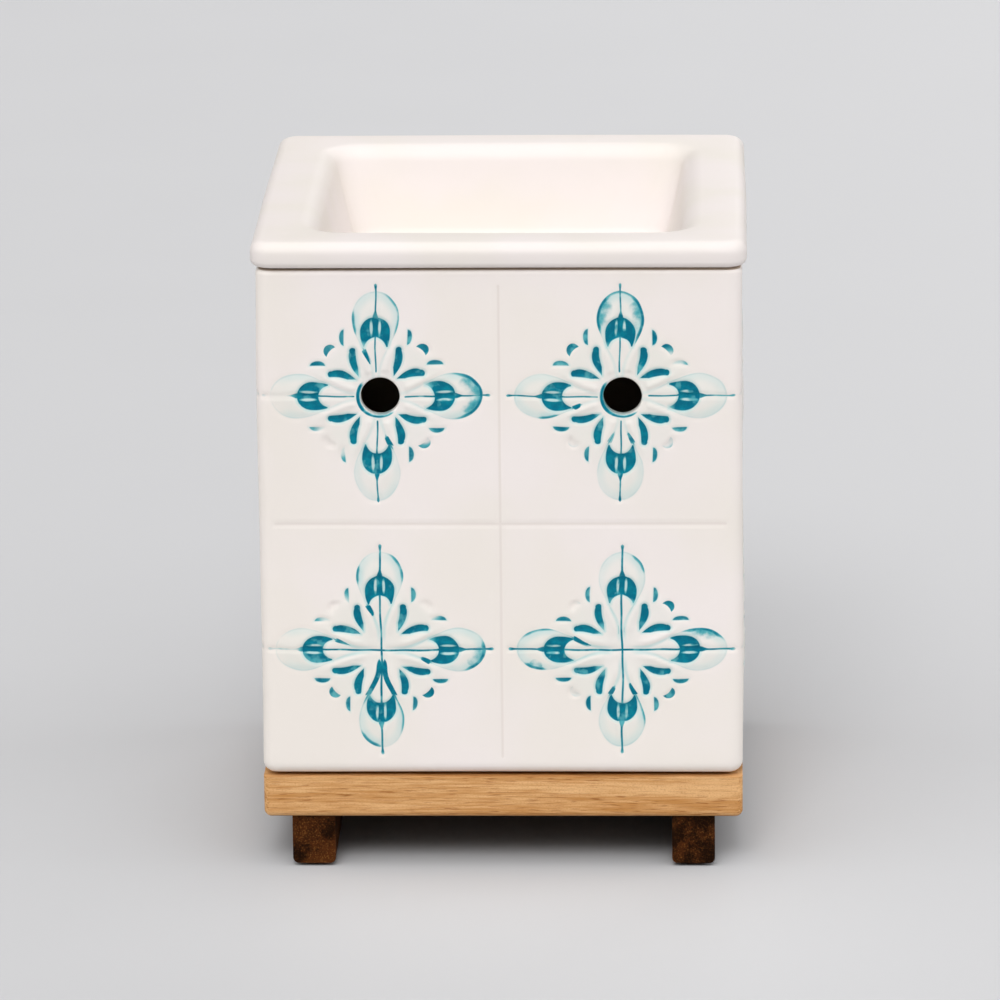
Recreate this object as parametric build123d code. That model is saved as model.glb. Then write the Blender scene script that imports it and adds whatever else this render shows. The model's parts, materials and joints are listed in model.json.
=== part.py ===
from build123d import *
import math
import os

# Square tabletop wax melt warmer: a glazed ceramic dish on a glazed ceramic body, on a wooden base.
# Millimetres, +Z up, the front faces -Y. The origin is on the table, under the middle of the base.

# Wooden base
BOARD_T = 10.2
BOARD_CORNER_R = 1.5
BOARD_LOWER_R = 1.8
RUNNER_W = 10.2
RUNNER_H = 11.9
RUNNER_INSET = 6.6
RUNNER_SETBACK = 1.5
RUNNER_EDGE_R = 1.4
RUNNER_SCREW_FROM_END = 26.0
PAD_D = 7.0
PAD_T = 0.8
PAD_FROM_END = 8.0

# Ceramic body
HOUSING_W = 114.0
HOUSING_H = 124.0
HOUSING_WALL = 4.8
HOUSING_FLOOR_T = 5.2
HOUSING_CORNER_R = 3.4
HOUSING_FOOT_R = 2.8
HOUSING_RIM_R = 1.6
CHAMBER_CORNER_R = 3.0
TILES_ACROSS = 2
TILE_GROOVE_W = 0.9
TILE_GROOVE_DEPTH = 0.3
TILE_MARGIN = 4.0
VENT_D = 9.6
GASKET_T = 0.7
GASKET_W = 8.0
GASKET_INSET = 4.0

# Ceramic dish
DISH_OVERHANG = 1.0
DISH_CORNER_R = 5.2
FLANGE_T = 6.0
FLANGE_EDGE_R = 2.8
DISH_RIM_W = 14.2
BOWL_DEPTH = 22.0
BOWL_DRAFT_DEG = 14.0
BOWL_WALL = 4.4
BOWL_FLOOR_T = 4.2
BOWL_CORNER_R = 4.5
BOWL_RIM_R = 3.0
BOWL_FLOOR_R = 3.5
LOCATING_STEP_H = 3.5
LOCATING_GAP = 0.9

# Reflector lamp with a two-pin twist base
LAMP_GAP = 10.0
REFLECTOR_D = 50.0
REFLECTOR_H = 30.0
REFLECTOR_RIM_H = 3.0
REFLECTOR_BULGE = 3.2
GLASS_T = 1.4
NECK_D = 22.0
LENS_T = 1.8
LENS_SEAT_W = 0.9
LAMP_BASE_L = 22.0
LAMP_BASE_W = 14.0
LAMP_BASE_H = 13.0
PIN_PITCH = 10.0
PIN_SHANK_D = 3.0
PIN_PLAY = 0.5
PIN_HEAD_D = 5.0
PIN_HEAD_L = 3.0
CAPSULE_D = 9.0
CAPSULE_H = 20.0
CAPSULE_T = 0.8
FILAMENT_H = 11.0
FILAMENT_L = 4.0
FILAMENT_D = 1.0

# Lampholder
TWIST_DEG = 35.0
SEAT_GAP = 0.3
HOLDER_H = 12.0
HOLDER_TOP_T = 3.2
HOLDER_EDGE_R = 1.0
CAP_T = 2.5
CONTACT_T = 0.5
CONTACT_W = 7.0
CONTACT_TOP_GAP = 0.6
CAVITY_GAP = 0.8
HOLDER_SIDE_WALL = 2.9
HOLDER_WEB = 3.0
HOLDER_END_WALL = 2.7
HOLDER_SCREW_D = 3.0
HOLDER_SCREW_HEAD_D = 5.4
HOLDER_SCREW_HEAD_H = 1.8
HOLDER_NUT_AF = 5.5
HOLDER_NUT_H = 2.4

# Steel bracket under the lampholder
BRACKET_T = 1.2
BRACKET_EDGE = 1.0
BRACKET_LEDGE = 5.0
BRACKET_FOOT_L = 13.0
BRACKET_BEND_R = 1.8
SCREW_PROUD = 1.2

# Bolts that clamp bracket, ceramic and wood
BOLT_D = 4.0
BOLT_Y = 7.5
BOLT_HEAD_D = 8.0
BOLT_HEAD_H = 2.6
BOLT_HEAD_R = 0.9
BOLT_SINK = 3.4
BOLT_PROUD = 1.5
WASHER_D = 9.0
WASHER_T = 0.8
NUT_AF = 7.0
NUT_H = 3.2

# Wood screws in the runners
WOOD_SCREW_D = 3.6
WOOD_SCREW_HEAD_D = 7.0
WOOD_SCREW_HEAD_H = 2.2
WOOD_SCREW_COVER = 3.5
WOOD_SCREW_SINK = 0.6

# Inner wiring and the gland for the cord
LEAD_D = 2.2
LEAD_BEND_SHARE = 0.45
LEAD_ROOM = 2.2
SPLICE_D = 5.2
SPLICE_L = 18.0
SPLICE_Y = 11.0
SPLICE_GRIP = 8.0
GROMMET_FROM_WALL = 15.2
GROMMET_D = 12.0
GROMMET_BORE_D = 6.4
GROMMET_FLANGE_D = 16.0
GROMMET_FLANGE_T = 1.5
GROMMET_EDGE_R = 0.6

# Clearances
HOLE_CLEARANCE = 0.2
COUNTERBORE_CLEARANCE = 0.4
BUSH_CLEARANCE = 0.1
PIN_CLEARANCE = 0.3
RECESS_DEPTH = 1.0
RECESS_W = 1.0
EDGE_SHARE = 0.47

# Levels, from the table up
Z_RUNNER = PAD_T
Z_BOARD = Z_RUNNER + RUNNER_H
Z_BOARD_TOP = Z_BOARD + BOARD_T
Z_HOUSING = Z_BOARD_TOP + GASKET_T
Z_FLOOR = Z_HOUSING + HOUSING_FLOOR_T
Z_RIM = Z_HOUSING + HOUSING_H
Z_DISH_TOP = Z_RIM + FLANGE_T
Z_BOWL_FLOOR = Z_DISH_TOP - BOWL_DEPTH
Z_BOWL_UNDER = Z_BOWL_FLOOR - BOWL_FLOOR_T
Z_LAMP_FRONT = Z_BOWL_UNDER - LAMP_GAP
Z_NECK = Z_LAMP_FRONT - REFLECTOR_H
Z_LAMP_BASE = Z_NECK - LAMP_BASE_H
Z_HOLDER_TOP = Z_LAMP_BASE - SEAT_GAP
Z_CAVITY_TOP = Z_HOLDER_TOP - HOLDER_TOP_T
Z_CAP_TOP = Z_HOLDER_TOP - HOLDER_H
Z_BRACKET_TOP = Z_CAP_TOP - CAP_T
Z_BRACKET_UNDER = Z_BRACKET_TOP - BRACKET_T
Z_BRACKET_FOOT = Z_FLOOR + BRACKET_T
Z_BOLT_SEAT = Z_BOARD + BOLT_SINK
Z_SCREW_HEAD = Z_RUNNER + WOOD_SCREW_SINK
Z_SCREW_TIP = Z_BOARD_TOP - WOOD_SCREW_COVER
Z_LEAD_RUN = Z_FLOOR + SPLICE_D / 2 + BUSH_CLEARANCE

# Widths and places that follow from the sizes above
BOARD_W = HOUSING_W
CHAMBER_W = HOUSING_W - 2 * HOUSING_WALL
DISH_W = HOUSING_W + 2 * DISH_OVERHANG
BOWL_TOP_W = DISH_W - 2 * DISH_RIM_W
BOWL_SLOPE = math.tan(math.radians(BOWL_DRAFT_DEG))
BOWL_SIDE_WALL = BOWL_WALL / math.cos(math.radians(BOWL_DRAFT_DEG))
RUNNER_L = BOARD_W - 2 * RUNNER_SETBACK
RUNNER_X = BOARD_W / 2 - RUNNER_INSET - RUNNER_W / 2
RUNNER_SCREW_Y = RUNNER_L / 2 - RUNNER_SCREW_FROM_END
PAD_Y = RUNNER_L / 2 - PAD_FROM_END
PIN_SHANK_L = SEAT_GAP + HOLDER_TOP_T + PIN_PLAY
CONTACT_R = PIN_PITCH / 2 + PIN_HEAD_D / 2 + PIN_CLEARANCE
CAVITY_R = CONTACT_R + CONTACT_T + CAVITY_GAP
HOLDER_SCREW_X = CAVITY_R + HOLDER_WEB + HOLDER_SCREW_D / 2 + HOLE_CLEARANCE
HOLDER_L = 2 * (HOLDER_SCREW_X + HOLDER_SCREW_D / 2 + HOLDER_END_WALL)
HOLDER_W = 2 * (CAVITY_R + HOLDER_SIDE_WALL)
BRACKET_SPAN = HOLDER_L + 2 * BRACKET_LEDGE
BRACKET_W = 2 * (BOLT_Y + WASHER_D / 2 + BRACKET_EDGE)
BOLT_X = BRACKET_SPAN / 2 + BRACKET_FOOT_L / 2
LEAD_X = CONTACT_R + CONTACT_T - LEAD_D / 2
GROMMET_Y = CHAMBER_W / 2 - GROMMET_FROM_WALL


def corners(x, y):
    """The four points at plus and minus x and y."""
    return [(side * x, end * y) for side in (-1, 1) for end in (-1, 1)]


def rod(diameter, z_low, z_high, x=0.0, y=0.0):
    """Upright cylinder between two levels."""
    return Pos(x, y, (z_low + z_high) / 2) * Cylinder(diameter / 2, z_high - z_low)


def plate(width, depth, corner_r, z_low, z_high):
    """Upright block with rounded corners in plan, between two levels."""
    return Pos(0, 0, z_low) * extrude(RectangleRounded(width, depth, corner_r), z_high - z_low)


def frustum(low_w, low_r, z_low, high_w, high_r, z_high):
    """Square tapered block with rounded corners."""
    low = Pos(0, 0, z_low) * RectangleRounded(low_w, low_w, low_r)
    high = Pos(0, 0, z_high) * RectangleRounded(high_w, high_w, high_r)
    return loft([low, high], ruled=True)


def nut(across_flats, height, bolt_d, z_low, x, y):
    """Hexagon nut on a bolt."""
    hexagon = RegularPolygon(across_flats / 2, 6, major_radius=False)
    blank = Pos(x, y, z_low) * extrude(hexagon, height)
    return blank - rod(bolt_d + 2 * BUSH_CLEARANCE, z_low, z_low + height, x, y)


def cross_recess(z_face, into, x, y, size):
    """Cross shaped driver recess, cut from a screw's face towards into (+1 up, -1 down)."""
    middle = Pos(x, y, z_face + into * RECESS_DEPTH / 2)
    return middle * (Box(size, RECESS_W, RECESS_DEPTH) + Box(RECESS_W, size, RECESS_DEPTH))


def make_housing():
    """Ceramic body: open box with a floor, tile grooves, vents and holes for bolts and wires."""
    body = plate(HOUSING_W, HOUSING_W, HOUSING_CORNER_R, Z_HOUSING, Z_RIM)
    foot_r = min(HOUSING_FOOT_R, 2 * EDGE_SHARE * HOUSING_CORNER_R)
    body = fillet(body.faces().sort_by(Axis.Z)[0].edges(), foot_r)
    body = fillet(body.faces().sort_by(Axis.Z)[-1].edges(), HOUSING_RIM_R)
    body -= plate(CHAMBER_W, CHAMBER_W, CHAMBER_CORNER_R, Z_FLOOR, Z_RIM)

    tile_w = HOUSING_W / TILES_ACROSS
    tile_h = HOUSING_H / TILES_ACROSS
    upright = Box(TILE_GROOVE_W, 2 * TILE_GROOVE_DEPTH, HOUSING_H - 2 * TILE_MARGIN)
    level = Box(HOUSING_W - 2 * HOUSING_CORNER_R, 2 * TILE_GROOVE_DEPTH, TILE_GROOVE_W)
    vent = Rot(90, 0, 0) * Cylinder(VENT_D / 2, 2 * HOUSING_WALL)
    for turn in (0, 90, 180, 270):
        face = Rot(0, 0, turn) * Pos(0, -HOUSING_W / 2, Z_HOUSING + HOUSING_H / 2)
        for seam in range(1, TILES_ACROSS):
            body -= face * Pos(seam * tile_w - HOUSING_W / 2, 0, 0) * upright
            body -= face * Pos(0, 0, seam * tile_h - HOUSING_H / 2) * level
        for column in range(TILES_ACROSS):
            x = (column + 0.5) * tile_w - HOUSING_W / 2
            body -= face * Pos(x, 0, (HOUSING_H - tile_h) / 2) * vent

    for x, y in corners(BOLT_X, BOLT_Y):
        body -= rod(BOLT_D + 2 * HOLE_CLEARANCE, Z_HOUSING, Z_FLOOR, x, y)
    body -= rod(GROMMET_D, Z_HOUSING, Z_FLOOR, 0, GROMMET_Y)
    return body


def make_base_gasket():
    """Flat ring between the ceramic foot and the board."""
    outer_w = HOUSING_W - 2 * GASKET_INSET
    inner_w = outer_w - 2 * GASKET_W
    ring = plate(outer_w, outer_w, HOUSING_CORNER_R, Z_BOARD_TOP, Z_HOUSING)
    return ring - plate(inner_w, inner_w, CHAMBER_CORNER_R, Z_BOARD_TOP, Z_HOUSING)


def make_wax_dish():
    """Lift-off dish: rounded flange, tapered square bowl and a step that drops inside the body."""
    flange = plate(DISH_W, DISH_W, DISH_CORNER_R, Z_RIM, Z_DISH_TOP)
    edge_r = min(FLANGE_EDGE_R, EDGE_SHARE * FLANGE_T)
    flange = fillet(flange.faces().sort_by(Axis.Z)[0].edges(), edge_r)
    flange = fillet(flange.faces().sort_by(Axis.Z)[-1].edges(), edge_r)

    step_w = CHAMBER_W - 2 * LOCATING_GAP
    step = plate(step_w, step_w, CHAMBER_CORNER_R, Z_RIM - LOCATING_STEP_H, Z_RIM)

    floor_w = BOWL_TOP_W - 2 * BOWL_DEPTH * BOWL_SLOPE
    under_w = floor_w + 2 * (BOWL_SIDE_WALL - BOWL_FLOOR_T * BOWL_SLOPE)
    collar_w = under_w + 2 * (Z_RIM - Z_BOWL_UNDER) * BOWL_SLOPE
    shell = frustum(under_w, BOWL_CORNER_R, Z_BOWL_UNDER, collar_w, BOWL_CORNER_R, Z_RIM)
    shell = fillet(shell.faces().sort_by(Axis.Z)[0].edges(), BOWL_FLOOR_R)

    hollow = frustum(floor_w, BOWL_CORNER_R, Z_BOWL_FLOOR, BOWL_TOP_W, BOWL_CORNER_R, Z_DISH_TOP)
    hollow = fillet(hollow.faces().sort_by(Axis.Z)[0].edges(), BOWL_FLOOR_R)

    dish = flange + step + shell - hollow
    top = dish.faces().sort_by(Axis.Z)[-1]
    return fillet(top.inner_wires()[0].edges(), BOWL_RIM_R)


def make_base_board():
    """Wooden board with sunk bolt holes, screw pilots and the gland's hole."""
    board = plate(BOARD_W, BOARD_W, BOARD_CORNER_R, Z_BOARD, Z_BOARD_TOP)
    board = fillet(board.faces().sort_by(Axis.Z)[0].edges(), min(BOARD_LOWER_R, EDGE_SHARE * BOARD_T))
    for x, y in corners(BOLT_X, BOLT_Y):
        board -= rod(BOLT_D + 2 * HOLE_CLEARANCE, Z_BOARD, Z_BOARD_TOP, x, y)
        board -= rod(BOLT_HEAD_D + 2 * COUNTERBORE_CLEARANCE, Z_BOARD, Z_BOLT_SEAT, x, y)
    for x, y in corners(RUNNER_X, RUNNER_SCREW_Y):
        board -= rod(WOOD_SCREW_D + 2 * BUSH_CLEARANCE, Z_BOARD, Z_SCREW_TIP, x, y)
    board -= rod(GROMMET_D + 2 * BUSH_CLEARANCE, Z_BOARD, Z_BOARD_TOP, 0, GROMMET_Y)
    return board


def make_runner(side):
    """Wooden runner, front to back, with countersunk screw holes. side is -1 left, +1 right."""
    x = side * RUNNER_X
    runner = Pos(x, 0, (Z_RUNNER + Z_BOARD) / 2) * Box(RUNNER_W, RUNNER_L, RUNNER_H)
    lower = runner.faces().sort_by(Axis.Z)[0].edges().filter_by(Axis.Y)
    runner = fillet(lower, min(RUNNER_EDGE_R, EDGE_SHARE * RUNNER_W))
    for end in (-1, 1):
        runner -= wood_screw(x, end * RUNNER_SCREW_Y, HOLE_CLEARANCE)
    return runner


def wood_screw(x, y, clearance=0.0):
    """Countersunk wood screw, head down. With a clearance it is the tool that cuts its hole."""
    shank_d = WOOD_SCREW_D + 2 * clearance
    head_d = WOOD_SCREW_HEAD_D + 2 * clearance
    cone = Cone(head_d / 2, shank_d / 2, WOOD_SCREW_HEAD_H)
    screw = rod(shank_d, Z_SCREW_HEAD, Z_SCREW_TIP, x, y)
    screw += Pos(x, y, Z_SCREW_HEAD + WOOD_SCREW_HEAD_H / 2) * cone
    if clearance:
        return screw + rod(head_d, Z_RUNNER, Z_SCREW_HEAD, x, y)
    return screw - cross_recess(Z_SCREW_HEAD, 1, x, y, WOOD_SCREW_D)


def make_foot_pads():
    """Thin round pads under the ends of the runners."""
    return [rod(PAD_D, 0, PAD_T, x, y) for x, y in corners(RUNNER_X, PAD_Y)]


def base_bolt(x, y):
    """Pan head bolt, up through board, ceramic floor and bracket foot."""
    tip_z = Z_BRACKET_FOOT + WASHER_T + NUT_H + BOLT_PROUD
    head = rod(BOLT_HEAD_D, Z_BOLT_SEAT - BOLT_HEAD_H, Z_BOLT_SEAT, x, y)
    head = fillet(head.faces().sort_by(Axis.Z)[0].edges(), BOLT_HEAD_R)
    bolt = head + rod(BOLT_D, Z_BOLT_SEAT, tip_z, x, y)
    return bolt - cross_recess(Z_BOLT_SEAT - BOLT_HEAD_H, 1, x, y, BOLT_D)


def base_washer(x, y):
    """Washer on a bracket foot."""
    top_z = Z_BRACKET_FOOT + WASHER_T
    ring = rod(WASHER_D, Z_BRACKET_FOOT, top_z, x, y)
    return ring - rod(BOLT_D + 2 * HOLE_CLEARANCE, Z_BRACKET_FOOT, top_z, x, y)


def base_nut(x, y):
    """Nut on a base bolt."""
    return nut(NUT_AF, NUT_H, BOLT_D, Z_BRACKET_FOOT + WASHER_T, x, y)


def make_lamp_bracket():
    """Bent strap: two feet on the ceramic floor, two legs and a top that carries the lampholder."""
    foot_z = Z_FLOOR + BRACKET_T / 2
    top_z = Z_BRACKET_UNDER + BRACKET_T / 2
    leg_x = (BRACKET_SPAN - BRACKET_T) / 2
    foot_x = BRACKET_SPAN / 2 + BRACKET_FOOT_L
    bends = [(-foot_x, foot_z), (-leg_x, foot_z), (-leg_x, top_z)]
    bends += [(-x, z) for x, z in reversed(bends)]
    strip = trace(FilletPolyline(*bends, radius=BRACKET_BEND_R), BRACKET_T)
    bracket = extrude(Plane.XZ * strip, BRACKET_W / 2, both=True)
    slot_w = LEAD_D + 2 * LEAD_ROOM
    wire_slot = SlotOverall(2 * LEAD_X + slot_w, slot_w)
    bracket -= Pos(0, 0, Z_BRACKET_UNDER) * extrude(wire_slot, BRACKET_T)
    for x in (-HOLDER_SCREW_X, HOLDER_SCREW_X):
        bracket -= rod(HOLDER_SCREW_D + 2 * HOLE_CLEARANCE, Z_BRACKET_UNDER, Z_BRACKET_TOP, x)
    for x, y in corners(BOLT_X, BOLT_Y):
        bracket -= rod(BOLT_D + 2 * HOLE_CLEARANCE, Z_FLOOR, Z_BRACKET_FOOT, x, y)
    return bracket


def make_lampholder_body():
    """Ceramic lampholder: hollow below, with two keyhole arcs in its top for the lamp's pins."""
    holder = Pos(0, 0, Z_CAP_TOP) * extrude(SlotOverall(HOLDER_L, HOLDER_W), HOLDER_H)
    holder = fillet(holder.faces().sort_by(Axis.Z)[-1].edges(), HOLDER_EDGE_R)
    holder -= rod(2 * CAVITY_R, Z_CAP_TOP, Z_CAVITY_TOP)
    pin_r = PIN_PITCH / 2
    track = SlotArc(CenterArc((0, 0), pin_r, 0, TWIST_DEG), PIN_SHANK_D + 2 * PIN_CLEARANCE)
    mouth = Rot(0, 0, TWIST_DEG) * Pos(pin_r, 0) * Circle(PIN_HEAD_D / 2 + PIN_CLEARANCE)
    keyhole = Pos(0, 0, Z_CAVITY_TOP) * extrude(track + mouth, HOLDER_TOP_T)
    holder -= keyhole
    holder -= Rot(0, 0, 180) * keyhole
    for x in (-HOLDER_SCREW_X, HOLDER_SCREW_X):
        holder -= rod(HOLDER_SCREW_D + 2 * HOLE_CLEARANCE, Z_CAP_TOP, Z_HOLDER_TOP, x)
        head_seat = Z_HOLDER_TOP - HOLDER_SCREW_HEAD_H - HOLE_CLEARANCE
        holder -= rod(HOLDER_SCREW_HEAD_D + 2 * HOLE_CLEARANCE, head_seat, Z_HOLDER_TOP, x)
    return holder


def make_lampholder_cap():
    """Ceramic plate that closes the lampholder from below, with holes for leads and screws."""
    cap = Pos(0, 0, Z_BRACKET_TOP) * extrude(SlotOverall(HOLDER_L, HOLDER_W), CAP_T)
    for x in (-1, 1):
        cap -= rod(LEAD_D + 2 * HOLE_CLEARANCE, Z_BRACKET_TOP, Z_CAP_TOP, x * LEAD_X)
        cap -= rod(HOLDER_SCREW_D + 2 * HOLE_CLEARANCE, Z_BRACKET_TOP, Z_CAP_TOP, x * HOLDER_SCREW_X)
    return cap


def contact(turn):
    """Spring contact: a foot on the cap over a lead, and a leaf beside the pin's path."""
    leaf_top = Z_CAVITY_TOP - CONTACT_TOP_GAP
    outer_d = 2 * (CONTACT_R + CONTACT_T)
    ring = rod(outer_d, Z_CAP_TOP, leaf_top) - rod(2 * CONTACT_R, Z_CAP_TOP, leaf_top)
    leaf_h = leaf_top - Z_CAP_TOP
    leaf = ring & (Pos(CONTACT_R, 0, Z_CAP_TOP + leaf_h / 2) * Box(CONTACT_R, CONTACT_W, leaf_h))
    foot = rod(outer_d, Z_CAP_TOP, Z_CAP_TOP + CONTACT_T)
    reach = 2 * (CONTACT_R + CONTACT_T - LEAD_X + LEAD_D / 2)
    foot &= Pos(CONTACT_R + CONTACT_T, 0, Z_CAP_TOP + CONTACT_T / 2) * Box(reach, CONTACT_W, CONTACT_T)
    return Rot(0, 0, turn) * (leaf + foot)


def holder_screw(x):
    """Screw down through lampholder, cap and bracket."""
    head_top = Z_HOLDER_TOP - HOLE_CLEARANCE
    seat = head_top - HOLDER_SCREW_HEAD_H
    tip = Z_BRACKET_UNDER - HOLDER_NUT_H - SCREW_PROUD
    screw = rod(HOLDER_SCREW_HEAD_D, seat, head_top, x) + rod(HOLDER_SCREW_D, tip, seat, x)
    return screw - cross_recess(head_top, -1, x, 0, HOLDER_SCREW_D)


def holder_nut(x):
    """Nut under the bracket's top."""
    return nut(HOLDER_NUT_AF, HOLDER_NUT_H, HOLDER_SCREW_D, Z_BRACKET_UNDER - HOLDER_NUT_H, x, 0)


def turned(outline):
    """Solid of revolution from an outline drawn as radius and height."""
    return revolve(Plane.XZ * make_face(outline), Axis.Z)


def make_lamp_reflector():
    """Glass bowl of the lamp, with a straight rim and a seat for its lens."""
    rim_r = REFLECTOR_D / 2
    seat_r = rim_r - GLASS_T
    bowl_r = seat_r - LENS_SEAT_W
    neck_r = NECK_D / 2
    rim_z = Z_LAMP_FRONT - REFLECTOR_RIM_H
    lens_z = Z_LAMP_FRONT - LENS_T
    outside = SagittaArc((neck_r, Z_NECK), (rim_r, rim_z), -REFLECTOR_BULGE)
    inside = SagittaArc((bowl_r, lens_z), (neck_r - GLASS_T, Z_NECK), REFLECTOR_BULGE)
    edge = Polyline((rim_r, rim_z), (rim_r, Z_LAMP_FRONT), (seat_r, Z_LAMP_FRONT))
    seat = Polyline((seat_r, Z_LAMP_FRONT), (seat_r, lens_z), (bowl_r, lens_z))
    foot = Line((neck_r - GLASS_T, Z_NECK), (neck_r, Z_NECK))
    return turned([outside, edge, seat, inside, foot])


def make_lamp_lens():
    """Front glass of the lamp, on its seat in the reflector."""
    lens_r = REFLECTOR_D / 2 - GLASS_T - BUSH_CLEARANCE
    return rod(2 * lens_r, Z_LAMP_FRONT - LENS_T, Z_LAMP_FRONT)


def make_lamp_base():
    """Ceramic foot of the lamp."""
    return Pos(0, 0, Z_LAMP_BASE) * extrude(SlotOverall(LAMP_BASE_L, LAMP_BASE_W), LAMP_BASE_H)


def lamp_pin(side):
    """Stepped pin under the lamp's foot."""
    x = side * PIN_PITCH / 2
    head_top = Z_LAMP_BASE - PIN_SHANK_L
    return rod(PIN_SHANK_D, head_top, Z_LAMP_BASE, x) + rod(PIN_HEAD_D, head_top - PIN_HEAD_L, head_top, x)


def dome(radius, height, z_low):
    """Upright cylinder with a round end."""
    wall_z = z_low + height - radius
    return rod(2 * radius, z_low, wall_z) + Pos(0, 0, wall_z) * Sphere(radius)


def make_lamp_capsule():
    """Hollow glass capsule on the lamp's foot."""
    inner_r = CAPSULE_D / 2 - CAPSULE_T
    return dome(CAPSULE_D / 2, CAPSULE_H, Z_NECK) - dome(inner_r, CAPSULE_H - CAPSULE_T, Z_NECK)


def make_lamp_filament():
    """Filament bar on two wires inside the capsule."""
    bar = Pos(0, 0, Z_NECK + FILAMENT_H) * Rot(0, 90, 0) * Cylinder(FILAMENT_D / 2, FILAMENT_L)
    for side in (-1, 1):
        bar += rod(FILAMENT_D / 2, Z_NECK, Z_NECK + FILAMENT_H, side * (FILAMENT_L - FILAMENT_D) / 2)
    return bar


def make_lead(side):
    """Sleeved wire from a contact, down through cap and bracket, into its splice on the floor."""
    x = side * LEAD_X
    end_y = SPLICE_Y + SPLICE_GRIP
    bend_r = LEAD_BEND_SHARE * min(Z_CAP_TOP - Z_LEAD_RUN, end_y)
    route = FilletPolyline((x, 0, Z_CAP_TOP), (x, 0, Z_LEAD_RUN), (x, end_y, Z_LEAD_RUN), radius=bend_r)
    return sweep(Pos(x, 0, Z_CAP_TOP) * Circle(LEAD_D / 2), route)


def lead_splice(side):
    """Crimp sleeve that lies on the floor: the lead enters one end, the cord's wire the other."""
    middle = Pos(side * LEAD_X, SPLICE_Y + SPLICE_L / 2, Z_LEAD_RUN) * Rot(90, 0, 0)
    bore_d = LEAD_D + 2 * BUSH_CLEARANCE
    return middle * (Cylinder(SPLICE_D / 2, SPLICE_L) - Cylinder(bore_d / 2, SPLICE_L))


def make_cord_grommet():
    """Rubber gland through the board, with a flange underneath."""
    flange_z = Z_BOARD - GROMMET_FLANGE_T
    flange = rod(GROMMET_FLANGE_D, flange_z, Z_BOARD, 0, GROMMET_Y)
    flange = fillet(flange.faces().sort_by(Axis.Z)[0].edges(), GROMMET_EDGE_R)
    grommet = flange + rod(GROMMET_D, Z_BOARD, Z_BOARD_TOP, 0, GROMMET_Y)
    return grommet - rod(GROMMET_BORE_D, flange_z, Z_BOARD_TOP, 0, GROMMET_Y)


def group(solids):
    """Several like pieces kept as separate solids."""
    return Compound(children=list(solids))


def make_pieces():
    """Every piece of the warmer by name."""
    bolts = corners(BOLT_X, BOLT_Y)
    return {
        "wax_dish": make_wax_dish(),
        "housing": make_housing(),
        "base_gasket": make_base_gasket(),
        "base_board": make_base_board(),
        "runner_left": make_runner(-1),
        "runner_right": make_runner(1),
        "runner_screws": group(wood_screw(x, y) for x, y in corners(RUNNER_X, RUNNER_SCREW_Y)),
        "foot_pads": group(make_foot_pads()),
        "base_bolts": group(base_bolt(x, y) for x, y in bolts),
        "base_washers": group(base_washer(x, y) for x, y in bolts),
        "base_nuts": group(base_nut(x, y) for x, y in bolts),
        "lamp_bracket": make_lamp_bracket(),
        "lampholder_body": make_lampholder_body(),
        "lampholder_cap": make_lampholder_cap(),
        "lampholder_contacts": group(contact(turn) for turn in (0, 180)),
        "holder_screws": group(holder_screw(x) for x in (-HOLDER_SCREW_X, HOLDER_SCREW_X)),
        "holder_nuts": group(holder_nut(x) for x in (-HOLDER_SCREW_X, HOLDER_SCREW_X)),
        "lamp_reflector": make_lamp_reflector(),
        "lamp_lens": make_lamp_lens(),
        "lamp_base": make_lamp_base(),
        "lamp_pins": group(lamp_pin(side) for side in (-1, 1)),
        "lamp_capsule": make_lamp_capsule(),
        "lamp_filament": make_lamp_filament(),
        "lead_live": make_lead(1),
        "lead_neutral": make_lead(-1),
        "lead_splices": group(lead_splice(side) for side in (-1, 1)),
        "cord_grommet": make_cord_grommet(),
    }


os.makedirs("parts", exist_ok=True)
for name, piece in make_pieces().items():
    export_step(piece, f"parts/{name}.step")
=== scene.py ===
"""Wax melt warmer: a tiled ceramic body and dish on a wooden base, with a lamp inside.

Every piece is in metres, in the frame of the packed part: +Z up, the front faces -Y.
"""

import functools
import json
import math

import bmesh
import bpy
import numpy as np
from bpy.props import FloatProperty, FloatVectorProperty, PointerProperty
from bpy.types import Operator, Panel, PropertyGroup
from mathutils import Matrix, Vector


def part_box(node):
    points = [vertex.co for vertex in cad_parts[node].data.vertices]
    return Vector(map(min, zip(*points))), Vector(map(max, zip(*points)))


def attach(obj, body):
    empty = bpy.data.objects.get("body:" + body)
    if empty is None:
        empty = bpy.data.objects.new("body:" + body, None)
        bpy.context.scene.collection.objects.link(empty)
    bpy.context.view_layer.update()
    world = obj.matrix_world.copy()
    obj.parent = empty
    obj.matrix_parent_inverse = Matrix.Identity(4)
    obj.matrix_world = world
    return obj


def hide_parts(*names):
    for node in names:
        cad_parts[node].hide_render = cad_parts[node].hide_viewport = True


bl_info = {
    "name": "Wax Melt Warmer",
    "version": (1, 0, 0),
    "blender": (4, 5, 0),
    "location": "View3D > Sidebar > Warmer",
    "description": "Builds a tiled ceramic wax melt warmer on its wooden base",
    "category": "Object",
}

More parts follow.
